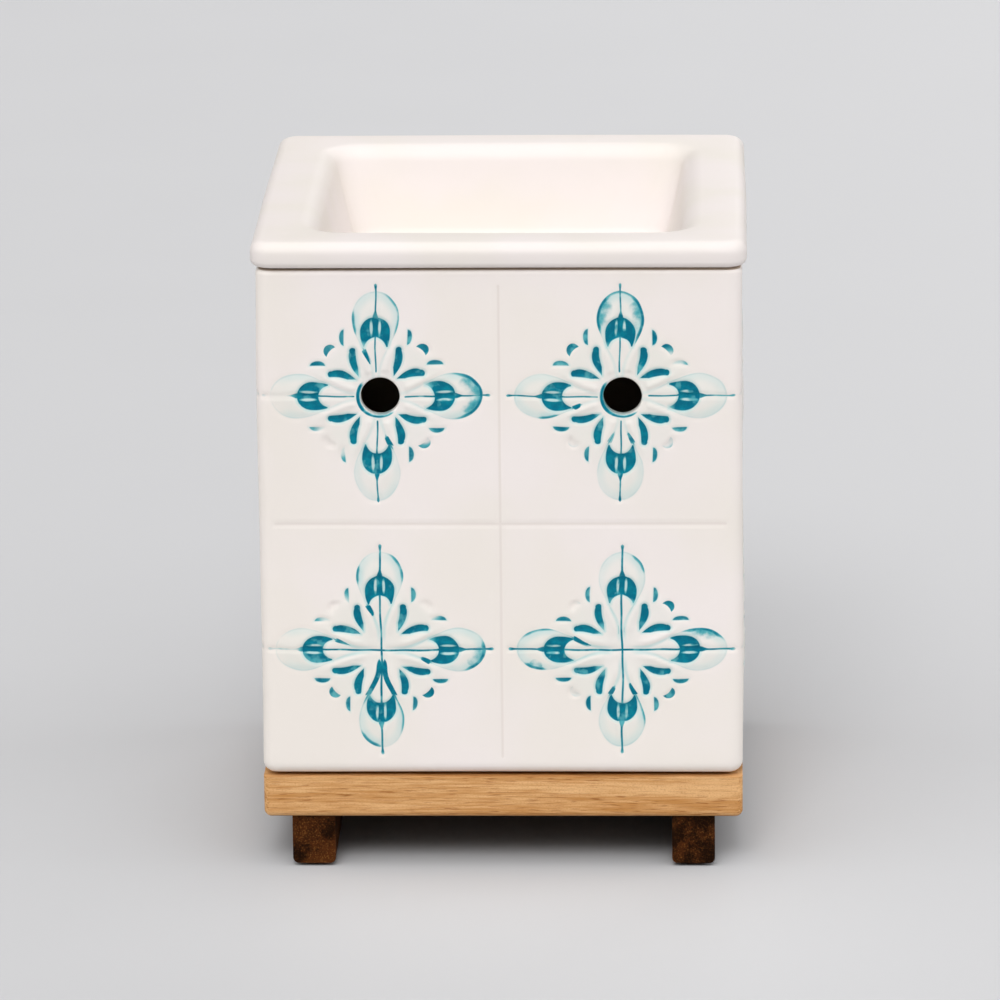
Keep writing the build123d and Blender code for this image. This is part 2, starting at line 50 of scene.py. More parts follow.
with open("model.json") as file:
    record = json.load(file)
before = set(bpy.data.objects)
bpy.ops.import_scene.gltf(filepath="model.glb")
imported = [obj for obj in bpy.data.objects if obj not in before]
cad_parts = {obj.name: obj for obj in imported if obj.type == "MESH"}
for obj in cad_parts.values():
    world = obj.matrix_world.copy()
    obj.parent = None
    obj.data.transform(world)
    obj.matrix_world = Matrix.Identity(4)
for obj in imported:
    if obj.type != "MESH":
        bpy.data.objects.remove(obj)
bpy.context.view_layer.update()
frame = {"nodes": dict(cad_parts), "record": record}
BODY_LOW, BODY_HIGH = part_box("housing")
DISH_LOW, DISH_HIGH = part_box("wax_dish")
GROMMET_LOW, GROMMET_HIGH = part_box("cord_grommet")
WASHER_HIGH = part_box("base_washers")[1]
BOARD_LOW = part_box("base_board")[0]
SLOT_OF_NODE = {part["node"]: part["material_slot"] for part in frame["record"]["subparts"]}

MM = 0.001
QUARTER_TURNS = (0, 1, 2, 3)


def srgb(red, green, blue):
    """A colour in screen values from 0 to 255, as the linear values that shaders take."""
    def linear(value):
        share = value / 255
        return share / 12.92 if share <= 0.04045 else ((share + 0.055) / 1.055) ** 2.4
    return (linear(red), linear(green), linear(blue), 1.0)


# What a user would change

def length(name, description, millimetres):
    return FloatProperty(name=name, description=description, default=millimetres * MM, min=0, unit="LENGTH")


def angle(name, description, degrees):
    return FloatProperty(name=name, description=description, default=math.radians(degrees), subtype="ANGLE")


def amount(name, description, default, unit="NONE"):
    return FloatProperty(name=name, description=description, default=default, unit=unit)


def colour(name, description, screen):
    return FloatVectorProperty(
        name=name, description=description, default=srgb(*screen), size=4, min=0, max=1, subtype="COLOR")


class BodySettings(PropertyGroup):
    """Sizes of the ceramic body."""
    wall: length("Wall", "Thickness of the ceramic walls", 4.8)
    floor: length("Floor", "Thickness of the ceramic floor", 5.2)
    corner: length("Corner radius", "Rounding of the upright corners", 3.4)
    chamber_corner: length("Chamber corner", "Rounding of the corners inside", 3)
    foot: length("Foot radius", "Rounding of the lower edge", 2.8)
    rim: length("Rim radius", "Rounding of the upper edge", 1.6)
    vent: length("Vent diameter", "Width of the round vents", 9.1)
    vent_edge: length("Vent edge", "Rounding where a vent meets the wall", 0.5)
    vent_neck: length("Vent neck", "Depth to which a vent keeps its width", 2.8)
    vent_flare: length("Vent flare", "How far a vent widens towards the chamber", 1.8)
    bolt_hole: length("Bolt hole", "Width of the bolt holes in the floor", 4.4)
    wire_hole: length("Wire hole", "Width of the hole for the wires in the floor", 12)
    step: length("Mesh step", "Distance between points on the tiled sides", 0.6)
    slump: FloatProperty(
        name="Slump", description="Share by which the foot is wider than the rim", default=0.006,
        subtype="FACTOR")


class DishSettings(PropertyGroup):
    """Sizes of the ceramic dish."""
    corner: length("Corner radius", "Rounding of the outer corners", 5.2)
    flange: length("Flange", "Thickness of the flat rim", 6)
    edge: length("Edge radius", "Rounding of the rim's upper outer edge", 2.8)
    low_edge: length("Lower edge radius", "Rounding of the rim's lower outer edge", 1.5)
    rim_width: length("Rim width", "Width of the flat rim around the bowl", 14.4)
    depth: length("Bowl depth", "Depth of the bowl", 22)
    draft: angle("Bowl draft", "Slope of the bowl's sides", 14)
    bowl_corner: length("Bowl corner", "Rounding of the bowl's upright corners", 6)
    lip: length("Lip radius", "Rounding where the rim turns into the bowl", 5)
    hollow: length("Floor radius", "Rounding where the bowl's sides meet its floor", 3.5)
    wall: length("Wall", "Thickness of the bowl", 4.4)
    step_height: length("Step height", "Depth of the step that drops into the body", 3.5)
    step_gap: length("Step gap", "Play between the step and the body", 0.9)


class GlazeSettings(PropertyGroup):
    """Colours of the glazes and the bare clay."""
    white: colour("White", "Satin white glaze", (240, 232, 229))
    cream: colour("Cream", "White glaze where it lies thin", (237, 230, 223))
    wash: colour("Wash", "Thin green film around the ornament", (222, 227, 219))
    halo: colour("Halo", "Faint teal that bled around the ornament", (184, 216, 215))
    teal: colour("Teal", "Teal glaze where it is thin", (88, 172, 180))
    deep_teal: colour("Deep teal", "Teal glaze where it pools", (0, 107, 132))
    bright_teal: colour("Bright teal", "Teal glaze in a middling pool", (5, 129, 148))
    seam: colour("Seam", "Lines between the tiles", (228, 219, 213))
    # Clay inside the body is real; clay deep in the vents and on the rim's top is also painted shade in the
    # vents and in the crevice under the dish.
    clay: colour("Clay", "Bare fired clay inside the body and on its rim", (178, 160, 142))


class WoodSettings(PropertyGroup):
    """Colours of the wooden base."""
    board: colour("Board", "Light wood of the board", (228, 181, 127))
    board_streak: colour("Board streaks", "Darker growth streaks of the board", (188, 131, 70))
    board_pore: colour("Board pores", "Fine pores of the board", (152, 94, 42))
    # Painted shade: dark colour on the board's underside, standing for the shade under the base.
    underside: colour("Underside", "Stain on the underside of the board", (58, 34, 18))
    runner: colour("Runner", "Dark wood of the runners", (76, 39, 14))
    runner_dark: colour("Runner dark", "Darkest patches of the runners", (27, 10, 2))
    runner_fleck: colour("Runner flecks", "Light flecks of the runners", (128, 84, 40))


class StageSettings(PropertyGroup):
    """Floor, light and camera."""
    floor: colour("Floor", "Plain pale floor", (198, 198, 200))
    floor_size: length("Floor size", "Width of the floor", 80000)
    lens: amount("Lens", "Focal length of the camera in millimetres", 231.3, "CAMERA")
    camera: FloatVectorProperty(
        name="Camera", description="Place of the camera", default=(0.0478, -1.5059, 0.5091), subtype="XYZ",
        unit="LENGTH")
    pitch: angle("Pitch", "How far the camera looks down", 16.07)
    yaw: angle("Yaw", "How far the camera looks left", 1.89)
    roll: angle("Roll", "Tilt of the camera", -0.58)
    sky: amount("Sky", "Strength of the soft light", 1.84)
    sky_rise: angle("Sky rise", "How high the middle of the soft light stands", 47.5)
    horizon: amount("Horizon", "Strength of the light near the ground", 0.02)
    backdrop: amount("Backdrop", "Strength of the pale band at the horizon", 0.55)
    key: amount("Key", "Strength of the main light", 1.0)
    key_turn: angle("Key turn", "How far left the main light stands", 6)
    key_rise: angle("Key rise", "How high the main light stands", 47)
    key_spread: angle("Key spread", "Width of the main light in the sky", 24)
    fill: amount("Fill", "Power of the light at the right in watts", 6.4, "POWER")
    side: amount("Side", "Power of the light at the left in watts", 3.2, "POWER")
    back: amount("Back", "Power of the light behind in watts", 4.5, "POWER")


# Materials as expressions

class Signal:
    """One value, vector or colour on its way through a material."""

    def __init__(self, finish, socket):
        self.finish = finish
        self.socket = socket

    def math(self, operation, *values):
        return self.finish.add("ShaderNodeMath", {"operation": operation}, dict(enumerate(values)))

    def __add__(self, other):
        return self.math("ADD", self, other)

    def __sub__(self, other):
        return self.math("SUBTRACT", self, other)

    def __rsub__(self, other):
        return self.math("SUBTRACT", other, self)

    def __mul__(self, other):
        return self.math("MULTIPLY", self, other)

    def __truediv__(self, other):
        return self.math("DIVIDE", self, other)

    __radd__ = __add__
    __rmul__ = __mul__


class Nodes:
    """The nodes of a material or of the world."""

    def __init__(self, tree):
        self.tree = tree

    def add(self, kind, settings, sockets, output=0):
        """A node of that kind, its settings made first, then its sockets set or linked."""
        node = self.tree.nodes.new(kind)
        for name, value in settings.items():
            setattr(node, name, value)
        for key, value in sockets.items():
            self.feed(node.inputs[key], value)
        return Signal(self, node.outputs[output])

    def feed(self, socket, value):
        if isinstance(value, Signal):
            self.tree.links.new(value.socket, socket)
        else:
            socket.default_value = value


class Finish(Nodes):
    """A material in the making: its nodes and the shader at their end."""

    def __init__(self, name):
        self.material = bpy.data.materials.new(name)
        self.material.use_nodes = True
        super().__init__(self.material.node_tree)
        self.shader = self.tree.nodes["Principled BSDF"]
        self.place = self.add("ShaderNodeTexCoord", {}, {}, "Object")

    def surface(self, **sockets):
        """Sets or links the shader's sockets, named with _ for spaces."""
        for name, value in sockets.items():
            self.feed(self.shader.inputs[name.replace("_", " ")], value)
        return self.material

    def axes(self):
        """Position on the piece along X, Y and Z, in millimetres."""
        parts = self.add("ShaderNodeSeparateXYZ", {}, {0: self.place}).socket.node.outputs
        return [Signal(self, part) * (1 / MM) for part in parts]

    def stretched(self, x, y, z):
        return self.add("ShaderNodeVectorMath", {"operation": "MULTIPLY"}, {0: self.place, 1: (x, y, z)})

    def noise(self, grain, detail=2.0, stretch=(1, 1, 1)):
        """Cloudy noise from 0 to 1, with patches of about grain millimetres."""
        scale = [share / (grain * MM) for share in stretch]
        sockets = {"Vector": self.stretched(*scale), "Scale": 1.0, "Detail": detail}
        return self.add("ShaderNodeTexNoise", {}, sockets)

    def spots(self, across, up, places):
        """How near a point is to the nearest of some places, from 0 to their strengths."""
        here = self.add("ShaderNodeCombineXYZ", {}, {0: across, 1: up})
        nearest = 0
        for x, z, reach, strength in places:
            ends = {0: here, 1: (x, z, 0)}
            apart = self.add("ShaderNodeVectorMath", {"operation": "DISTANCE"}, ends, "Value")
            nearest = most(nearest, strength * ease(apart, reach, 0.4 * reach))
        return nearest

    def blend(self, share, first, second):
        """A colour between two colours."""
        settings = {"data_type": "RGBA", "clamp_factor": True}
        return self.add("ShaderNodeMix", settings, {0: share, 6: first, 7: second}, 2)

    def bump(self, height, depth, strength=1.0):
        """A surface normal for a height from 0 to 1 that is depth millimetres high."""
        sockets = {"Height": height, "Distance": depth * MM, "Strength": strength}
        return self.add("ShaderNodeBump", {}, sockets)


def on_both(operation, on_numbers):
    """A function that takes shader signals and arrays of numbers alike."""
    def apply(*values):
        signal = next((value for value in values if isinstance(value, Signal)), None)
        return on_numbers(*values) if signal is None else signal.math(operation, *values)
    return apply


least = on_both("MINIMUM", np.minimum)
most = on_both("MAXIMUM", np.maximum)
size = on_both("ABSOLUTE", np.abs)
root = on_both("SQRT", np.sqrt)
wave = on_both("SINE", np.sin)
sign = on_both("SIGN", np.sign)
over = on_both("GREATER_THAN", np.greater)


def greatest(*values):
    return functools.reduce(most, values)


def far(first, second):
    return root(first * first + second * second)


def ease(value, start, end):
    """0 up to start and 1 from end on, with a soft change between them."""
    if isinstance(value, Signal):
        sockets = {"Value": value, "From Min": start, "From Max": end}
        return value.finish.add("ShaderNodeMapRange", {"interpolation_type": "SMOOTHSTEP"}, sockets)
    share = np.clip((value - start) / (end - start), 0, 1)
    return share * share * (3 - 2 * share)


# The tile ornament, in millimetres. One eighth is drawn, along an arm and beside it, and folded all round.

TILE_ACROSS = (BODY_HIGH.x - BODY_LOW.x) / 4 / MM
TILE_UP = (BODY_HIGH.z - BODY_LOW.z) / 4 / MM
SEAM_Z = (BODY_HIGH.z + BODY_LOW.z) / 2 / MM
SEAM_REACH = 53.0
SEAM_UP_SHARE = 0.92
ARM_REACH = 26.8
ARM_SHORT = 1.6
ARM_SHORT_FROM = (-8, -16)
ARM_LINE_HALF = 0.24
ARM_LINE_FINER = 0.06
ARM_TIP = 0.14
ARM_TIP_REACH = (1.4, 0.2)
ARM_FLARE = 0.45
ARM_FLARE_MID = 17
ARM_FLARE_REACH = (3.6, 1.6)
PETAL_NECK = 4.5
PETAL_SHOULDER = 18.5
PETAL_TIP = 25.1
PETAL_NARROW = 0.75
PETAL_WIDE = 5.45
TULIP_MID = 15.1
TULIP_TIP = 18.8
TULIP_FOOT = 11.7
TULIP_SKIRT = 6.0
TULIP_WIDE = 3.5
NOTCH_MID = (10.9, 0)
NOTCH_HALF = (3.0, 2.7)
STREAK_MID = (16.2, 0.95)
STREAK_HALF = (2.0, 0.4)
DROP_TIP = (4.9, 4.2)
DROP_END = (10.85, 5.45)
DROP_R = 1.1
DROP_FULL = 2.25
DROP_BLUNT = 1.1
DROP_BEND = 0.035
DROP_FLAT = 0.7
DAB_MID = (14.0, 7.45)
DAB_HALF = (1.85, 1.1)
HOOK_ROUND_MID = 10.9
HOOK_ROUND_R = 1.55
HOOK_CUT_MID = 8.25
HOOK_CUT_R = 3.75
MOTIF_WIDE = 0.99
MOTIF_TALL = 0.985
MOTIF_TALLER = 0.025
MOTIF_RISE = 0.1
MOTIF_LEFT = 0.15
VENT_RING = (4.4, 5.05)
VENT_OFF = (0.65, -0.05)

# How far the shapes stand out of the flat tile, or are pressed into it
PETAL_CROWN = 0.12
PETAL_GROOVE = 0.1
BANK_HEIGHT = 0.3
FIELD_HEIGHT = 0.12
STREAK_HEIGHT = 0.25
TULIP_DEPTH = 0.45
ARM_DEPTH = 0.3
DROP_DEPTH = 0.5
DAB_DEPTH = 0.32
SEAM_DEPTH = 0.25

# Where the brush left more teal on the petals: across and up from the middle of a side, reach and strength
BRUSHED = (
    (-5, 31.5, 9.5, 1), (-33.9, 48.8, 3.6, 0.66), (-24, 51, 7, 0.45), (-30.6, 40.7, 3, 0.8),
    (-25.8, 20, 2.5, 0.7), (23.3, 51.5, 6.5, 1), (33.9, 50, 8, 1), (28.5, 55.5, 6, 0.4),
    (11.5, 26.4, 3, 0.6), (18, 29, 1.8, 0.7), (30.8, 21, 2.5, 0.6), (26.2, 21, 2.5, 0.5),
    (-23.8, -10.5, 5, 0.62), (-34, -12.5, 3, 0.6), (-31.2, -21.3, 2.2, 0.9), (-5.5, -33, 5.5, 0.9),
    (-17.8, -33.2, 2, 0.8), (-37.5, -29.4, 3.5, 0.6), (-28.5, -38, 9, 1), (-23.3, -47, 6, 0.5),
    (-31.5, -53.5, 4, 0.7), (48, -25, 6.5, 1), (33, -9.5, 3.5, 0.6), (34, -45, 6, 0.5),
    (31.2, -40.5, 2.5, 0.8), (25.9, -41, 2, 0.6), (8, -34.8, 3.2, 0.9), (8.5, -26.3, 5, 0.5),
    (19, -29, 3.5, 0.9), (28, -26, 2, 0.7))
# Where the small dabs between the arms came out pale, in the same terms
FADED = (
    (-38.5, 21, 7, 0.85), (-17.5, 21.5, 3, 0.6), (40.5, 39, 4.5, 0.8), (18, 20.5, 4, 0.7),
    (39, 21, 4, 0.7), (-39, -21.5, 6.5, 0.9), (-17.5, -21, 4.5, 0.9), (17.5, -20.5, 4, 0.6),
    (17.5, -41.5, 3, 0.8), (-52, 31, 5.5, 0.9), (-52, -31, 5.5, 0.8), (52, 31, 3, 0.5))


class Ornament:
    """Distances in millimetres from points of the body to the drawn shapes, negative inside a shape."""

    def __init__(self, x, y, z):
        front = over(size(y), size(x))
        self.across = y + (x - y) * front
        self.up = z - SEAM_Z
        nudge = MOTIF_LEFT * over(self.up, 0)
        self.rightward = sign(self.across) * (size(self.across) - TILE_ACROSS) + nudge
        self.upward = sign(self.up) * (size(self.up) - TILE_UP) - MOTIF_RISE
        self.upper = ease(self.up, -1, 1)
        tall = MOTIF_TALL + MOTIF_TALLER * sign(self.up)
        right = size(self.rightward / MOTIF_WIDE + self.wander(x, y, z, 0.6))
        rise = size(self.upward / tall + self.wander(x, y, z, 2.9))
        self.along = most(right, rise)
        self.beside = least(right, rise)
        self.spread = right + rise
        self.from_vent = far(self.rightward - VENT_OFF[0], self.upward - VENT_OFF[1])

    @staticmethod
    def wander(x, y, z, phase):
        """Hand-drawn unevenness of the ornament."""
        slow = wave(0.21 * z + 0.13 * x + 0.17 * y + phase)
        quick = wave(0.83 * x + 0.71 * y - 0.77 * z + 2 * phase)
        return 0.16 * slow + 0.05 * quick

    def oval(self, middle, half):
        along, beside = half
        reach = far((self.along - middle[0]) / along, (self.beside - middle[1]) / beside)
        return (reach - 1) * beside

    def arm_line(self):
        """The line along an arm: finer on the upper tiles, where the lower arm is short."""
        flare = ARM_FLARE * ease(size(self.along - ARM_FLARE_MID), *ARM_FLARE_REACH)
        past = self.along - ARM_REACH + ARM_SHORT * self.upper * ease(self.upward, *ARM_SHORT_FROM)
        tip = ARM_TIP * ease(size(past), *ARM_TIP_REACH)
        return self.beside - ARM_LINE_HALF + ARM_LINE_FINER * self.upper - flare - tip + most(past, 0)

    def petal(self):
        neck = PETAL_NARROW + (PETAL_WIDE - PETAL_NARROW) * ease(self.along, PETAL_NECK, PETAL_SHOULDER)
        past = most(self.along - PETAL_SHOULDER, 0) / (PETAL_TIP - PETAL_SHOULDER)
        tip = far(past, self.beside / PETAL_WIDE) - 1
        return most(self.beside - neck, tip * PETAL_WIDE)

    def tulip(self):
        past = self.along - TULIP_MID
        dome = most(past / (TULIP_TIP - TULIP_MID), past / -TULIP_SKIRT)
        cup = (far(dome, self.beside / TULIP_WIDE) - 1) * TULIP_WIDE
        notch = self.oval(NOTCH_MID, NOTCH_HALF)
        return greatest(cup, 0 - notch, TULIP_FOOT - self.along)

    def streak(self):
        return self.oval(STREAK_MID, STREAK_HALF)

    def drop(self):
        """A bent leaf that is pointed towards the middle and flat on its inner side."""
        run = math.dist(DROP_TIP, DROP_END)
        cos = (DROP_END[0] - DROP_TIP[0]) / run
        sin = (DROP_END[1] - DROP_TIP[1]) / run
        out = (self.along - DROP_TIP[0]) * cos + (self.beside - DROP_TIP[1]) * sin
        held = most(least(out, run), 0)
        side = (self.beside - DROP_TIP[1]) * cos - (self.along - DROP_TIP[0]) * sin
        side = side - held * (run - held) * DROP_BEND
        share = held / run
        whole = far(side, out - held) - DROP_FULL * DROP_R * share * root(DROP_BLUNT - share)
        return most(whole, -DROP_FLAT - side)

    def dab(self):
        return most(self.oval(DAB_MID, DAB_HALF), DAB_MID[1] - self.beside)

    def hook(self):
        cut = far(self.along - HOOK_CUT_MID, self.beside - HOOK_CUT_MID)
        around = far(self.along - HOOK_ROUND_MID, self.beside - HOOK_ROUND_MID)
        return most(HOOK_CUT_R - cut, around - HOOK_ROUND_R)

    def seam(self):
        """Distance from the lines between the tiles, which end before the corners."""
        nearest = least(size(self.across), size(self.up))
        return nearest + most(most(size(self.across), size(self.up) * SEAM_UP_SHARE) - SEAM_REACH, 0)


def relief(drawn):
    """Height of the pressed ornament over the flat tile, in millimetres."""
    petal = drawn.petal()
    bank = ease(size(petal - 1.1), 1.1, 0) * ease(drawn.along, 3, 6) * ease(drawn.along, 15, 10)
    height = (
        PETAL_CROWN * ease(petal, 0.5, -3.5) - PETAL_GROOVE * ease(size(petal), 0.7, 0)
        + BANK_HEIGHT * bank + FIELD_HEIGHT * ease(drawn.spread, 25, 20)
        + STREAK_HEIGHT * ease(drawn.streak(), 0.3, -0.3) - TULIP_DEPTH * ease(drawn.tulip(), 0.35, -0.5)
        - ARM_DEPTH * ease(drawn.arm_line(), 0.45, -0.15) - DROP_DEPTH * ease(drawn.drop(), 0.35, -0.6)
        - DAB_DEPTH * (ease(drawn.dab(), 0.3, -0.4) + ease(drawn.hook(), 0.3, -0.4))
        - SEAM_DEPTH * ease(drawn.seam(), 0.55, 0.05))
    on_vent = ease(drawn.from_vent, 6.8, 5.6) * drawn.upper
    return height * (1 - on_vent)


# The glaze on the tiles

SOFT_EDGE = 0.15
# Depths in from the outside where the glaze gives way to clay; deep in the vents this clay is painted shade.
GLAZE_ENDS = (2.7, 3.1)
# Depths down from the top where the rim turns to clay, as painted shade in the crevice under the dish.
RIM_CLAY_SHADE = (0.8, 0.6)
# Share of the body's white that the dish keeps: painted shade on the upward-facing dish.
DISH_PAINTED_SHADE = 0.925


class Brushwork:
    """The painter's uneven hand: where the teal came out thick, thin, patchy or pale."""

    def __init__(self, finish, drawn):
        self.patches = finish.noise(9)
        self.blots = finish.noise(4.5)
        self.bristles = finish.noise(1.6, 3)
        self.thin = ease(finish.noise(2.8), 0.5, 0.72)
        self.rubbed = ease(self.blots, 0.46, 0.66)
        self.brushed = finish.spots(drawn.across, drawn.up, BRUSHED)
        self.faded = finish.spots(drawn.across, drawn.up, FADED)


def painted(distance):
    """1 inside a drawn shape and 0 outside it, with a soft edge."""
    return ease(distance, SOFT_EDGE, -SOFT_EDGE)


def pooled_teal(drawn, hand):
    """Teal in the pressed tulips, drops, dabs, hooks and lines, and at the lower left of the vents."""
    streak = ease(drawn.streak(), 0.12, -0.2) * ease(hand.blots, 0.3, 0.5)
    foot = 1 - 0.6 * hand.rubbed * ease(drawn.along, 14, 11.6)
    tulip = painted(drawn.tulip()) * (1 - 0.85 * streak) * foot
    drop = painted(drawn.drop()) * (1 - 0.55 * hand.rubbed * ease(drawn.along, 8.2, 5.6))
    dab = painted(drawn.dab()) * (0.5 + 0.6 * hand.blots - 0.95 * hand.faded)
    hook = painted(drawn.hook()) * (0.4 + 0.8 * hand.blots - 0.95 * hand.faded)
    line = painted(drawn.arm_line()) * (0.5 + 0.7 * hand.blots - 0.8 * hand.faded)
    line = line * ease(drawn.along, 27.8, 26) * most(ease(drawn.from_vent, 5.6, 6.2), 1 - drawn.upper)
    inner, outer = VENT_RING
    wider = 0.3 * ease(drawn.rightward, 0, -4)
    ring = ease(drawn.from_vent - wider, outer + 0.3, outer - 0.15) * ease(drawn.from_vent, inner, outer)
    ring = ring * ease(drawn.rightward + drawn.upward, 1.5, -2.5) * drawn.upper * (0.6 + hand.blots)
    return greatest(tulip, drop, dab, hook, line, ring)


def brushed_teal(drawn, petal, hand):
    """Teal that the brush left on the petals: their outlines, their ends and strokes towards the middle."""
    heavy = 0.1 + 0.35 * ease(hand.brushed, 0.3, 0.9)
    laid = 0.05 + 0.25 * hand.patches + 0.3 * hand.blots * ease(hand.brushed, 0.1, 0.4) + 0.6 * hand.brushed
    outline = ease(petal, 0.2, -0.1) * ease(petal + heavy, -0.6, 0.1) * ease(drawn.along, 7, 10)
    outline = outline * least(laid, 0.85)
    end = painted(petal) * ease(petal, -4, -0.1) * ease(drawn.along, 14, 19)
    end = end * ease(hand.brushed, 0.68, 1) * (1.3 * hand.bristles - 0.1)
    thick = most(ease(drawn.along, 6.5, 11.3), ease(hand.brushed, 0.8, 1) * ease(drawn.along, 0.5, 5))
    stroke = painted(size(petal + 0.1) - 0.65 * thick) * ease(hand.brushed, 0.35, 0.7)
    stroke = stroke * ease(drawn.along, 12.2, 11.4) * ease(drawn.along, 1, 3)
    return greatest(outline, end, stroke)


def bled_teal(drawn, petal, hand):
    """Pale teal that bled into the petals and along their necks."""
    inside = ease(petal, 0.25, -0.2) * ease(petal, -2.6, -0.3) * ease(drawn.along, 12, 17)
    neck = ease(size(petal + 0.1), 0.75, 0) * ease(drawn.along, 14, 9) * ease(drawn.along, 1.5, 4.5)
    neck = neck * (0.3 + hand.blots) * (0.75 - 0.4 * drawn.upper)
    return inside * (0.7 * hand.patches + 0.6 * hand.brushed - 0.4 * hand.faded) + neck


def satin(finish, tint, rough, ripple):
    """A satin glaze with soft ripples of about that many millimetres."""
    return finish.surface(
        Base_Color=tint, Roughness=rough, Specular_IOR_Level=0.1,
        Normal=finish.bump(finish.noise(ripple, 1), 0.02, 0.6))


def tile_glaze(glaze):
    """White satin glaze with teal pooled in the pressed ornament, and unglazed clay inside the body; the
    clay deep in the vents and on the rim's top is also painted shade there.
    """
    finish = Finish("body_glaze")
    x, y, z = finish.axes()
    drawn = Ornament(x, y, z)
    hand = Brushwork(finish, drawn)
    petal = drawn.petal()
    teal = most(pooled_teal(drawn, hand), brushed_teal(drawn, petal, hand)) * (1 - 0.38 * hand.thin)
    film = most(ease(petal, 0.8, -1.2), 0.8 * ease(drawn.spread, 25, 18)) * (0.1 + 1.1 * hand.patches)
    near = least(least(drawn.tulip(), drawn.drop()), drawn.dab() + 0.3 + 0.4 * hand.faded)
    # Clay inside the body, and painted shade as clay deep in the vents and on the rim's top.
    within = ease(most(size(x), size(y)), *(BODY_HIGH.x / MM - depth for depth in GLAZE_ENDS))
    clay_and_shade = most(within, ease(z, *(BODY_HIGH.z / MM - depth for depth in RIM_CLAY_SHADE)))

    tint = finish.blend(ease(finish.noise(38), 0.35, 0.65), glaze.white, glaze.cream)
    tint = finish.blend(0.75 * ease(drawn.seam(), 0.5, 0.1), tint, glaze.seam)
    tint = finish.blend(0.6 * film, tint, glaze.wash)
    tint = finish.blend(bled_teal(drawn, petal, hand), tint, glaze.halo)
    tint = finish.blend(ease(near, 0.8, 0) * (0.25 + 0.9 * hand.blots), tint, glaze.halo)
    tint = finish.blend(ease(teal, 0.03, 0.55), tint, glaze.teal)
    deep = finish.blend(ease(hand.bristles, 0.35, 0.75), glaze.deep_teal, glaze.bright_teal)
    tint = finish.blend(ease(teal, 0.45, 0.92), tint, deep)
    tint = finish.blend(clay_and_shade, tint, glaze.clay)
    rough = 0.42 - 0.1 * teal + 0.1 * hand.bristles + 0.4 * clay_and_shade
    return satin(finish, tint, rough, 2.4)


def dish_glaze(glaze):
    """White satin glaze, a little creamier where it runs thin, and darkened against the body's white as
    painted shade.
    """
    finish = Finish("dish_glaze")
    thin = ease(finish.noise(26), 0.35, 0.7)
    tint = finish.blend(thin, shade(glaze.white, DISH_PAINTED_SHADE), shade(glaze.cream, DISH_PAINTED_SHADE))
    return satin(finish, tint, 0.36 + 0.12 * finish.noise(3, 3), 2.8)


def board_wood(wood):
    """Light oiled wood with fine dark pores along X, and painted shade on its underside."""
    finish = Finish("board_wood")
    bands = finish.noise(5, 3, (0.05, 0.5, 1))
    fibres = finish.noise(0.5, 5, (0.045, 1, 1))
    specks = finish.noise(0.22, 2, (0.5, 1, 1))
    pores = ease(finish.noise(0.3, 2, (0.06, 1, 1)), 0.55, 0.66)
    share = ease(0.6 * bands + 0.5 * fibres, 0.4, 0.7)
    tint = finish.blend(share, wood.board, wood.board_streak)
    tint = finish.blend(0.5 * ease(specks, 0.45, 0.72), tint, wood.board_streak)
    tint = finish.blend(pores * (0.3 + 0.7 * ease(bands, 0.42, 0.6)), tint, wood.board_pore)
    # Painted shade: the underside is darkened as the shade under the base would darken it.
    underside = ease(finish.axes()[2], BOARD_LOW.z / MM + 0.5, BOARD_LOW.z / MM + 0.1)
    tint = finish.blend(0.9 * underside, tint, wood.underside)
    height = 0.4 * fibres + 0.6 - 0.6 * pores
    return finish.surface(
        Base_Color=tint, Roughness=0.5 + 0.2 * fibres, Specular_IOR_Level=0.25,
        Normal=finish.bump(height, 0.06, 0.7))


def runner_wood(wood):
    """Dark oiled wood with grain along Y and mottled, flecked ends."""
    finish = Finish("runner_wood")
    mottle = finish.noise(4.5, 3, (1, 0.12, 1))
    fibres = finish.noise(0.5, 3, (1, 0.1, 1))
    flecks = ease(finish.noise(0.3, 2, (1, 0.3, 1)), 0.52, 0.72)
    right = ease(finish.axes()[0], -1, 1)
    light = ease(0.8 * mottle + 0.35 * fibres - 0.12 * right, 0.42, 0.68)
    tint = finish.blend(light, wood.runner_dark, wood.runner)
    tint = finish.blend(flecks * (0.12 + 0.6 * light), tint, wood.runner_fleck)
    return finish.surface(
        Base_Color=tint, Roughness=0.65 + 0.2 * fibres, Specular_IOR_Level=0.05,
        Normal=finish.bump(fibres - flecks * 0.4, 0.08, 0.7))


def shade(tint, share):
    """The colour made darker."""
    return (*(part * share for part in tint[:3]), 1.0)


def rubber(finish, tint):
    """Matt rubber or silicone with a dusty bloom."""
    bloom = ease(finish.noise(3, 3), 0.4, 0.7)
    colours = finish.blend(bloom, shade(tint, 0.75), tint)
    grain = finish.noise(0.4, 2)
    return finish.surface(
        Base_Color=colours, Roughness=0.6 + 0.2 * bloom, Normal=finish.bump(grain, 0.03, 0.5))


def plated(finish, tint, stretch, polish):
    """Plated metal with fine marks along one way and duller patches."""
    marks = finish.noise(0.5, 3, stretch)
    dull = ease(finish.noise(6, 2), 0.4, 0.7)
    colours = finish.blend(dull, tint, shade(tint, 0.78))
    rough = polish + 0.15 * marks + 0.12 * dull
    return finish.surface(
        Base_Color=colours, Metallic=1.0, Roughness=rough, Normal=finish.bump(marks, 0.012, 0.5))


def bare_ceramic(finish, tint):
    """Unglazed pressed ceramic with fine speckles."""
    specks = ease(finish.noise(0.5, 2), 0.62, 0.72)
    colours = finish.blend(ease(finish.noise(7), 0.35, 0.7), tint, shade(tint, 0.88))
    colours = finish.blend(0.35 * specks, colours, shade(tint, 0.5))
    grain = finish.noise(0.3, 3)
    return finish.surface(
        Base_Color=colours, Roughness=0.75 + 0.15 * grain, Normal=finish.bump(grain, 0.03, 0.6))


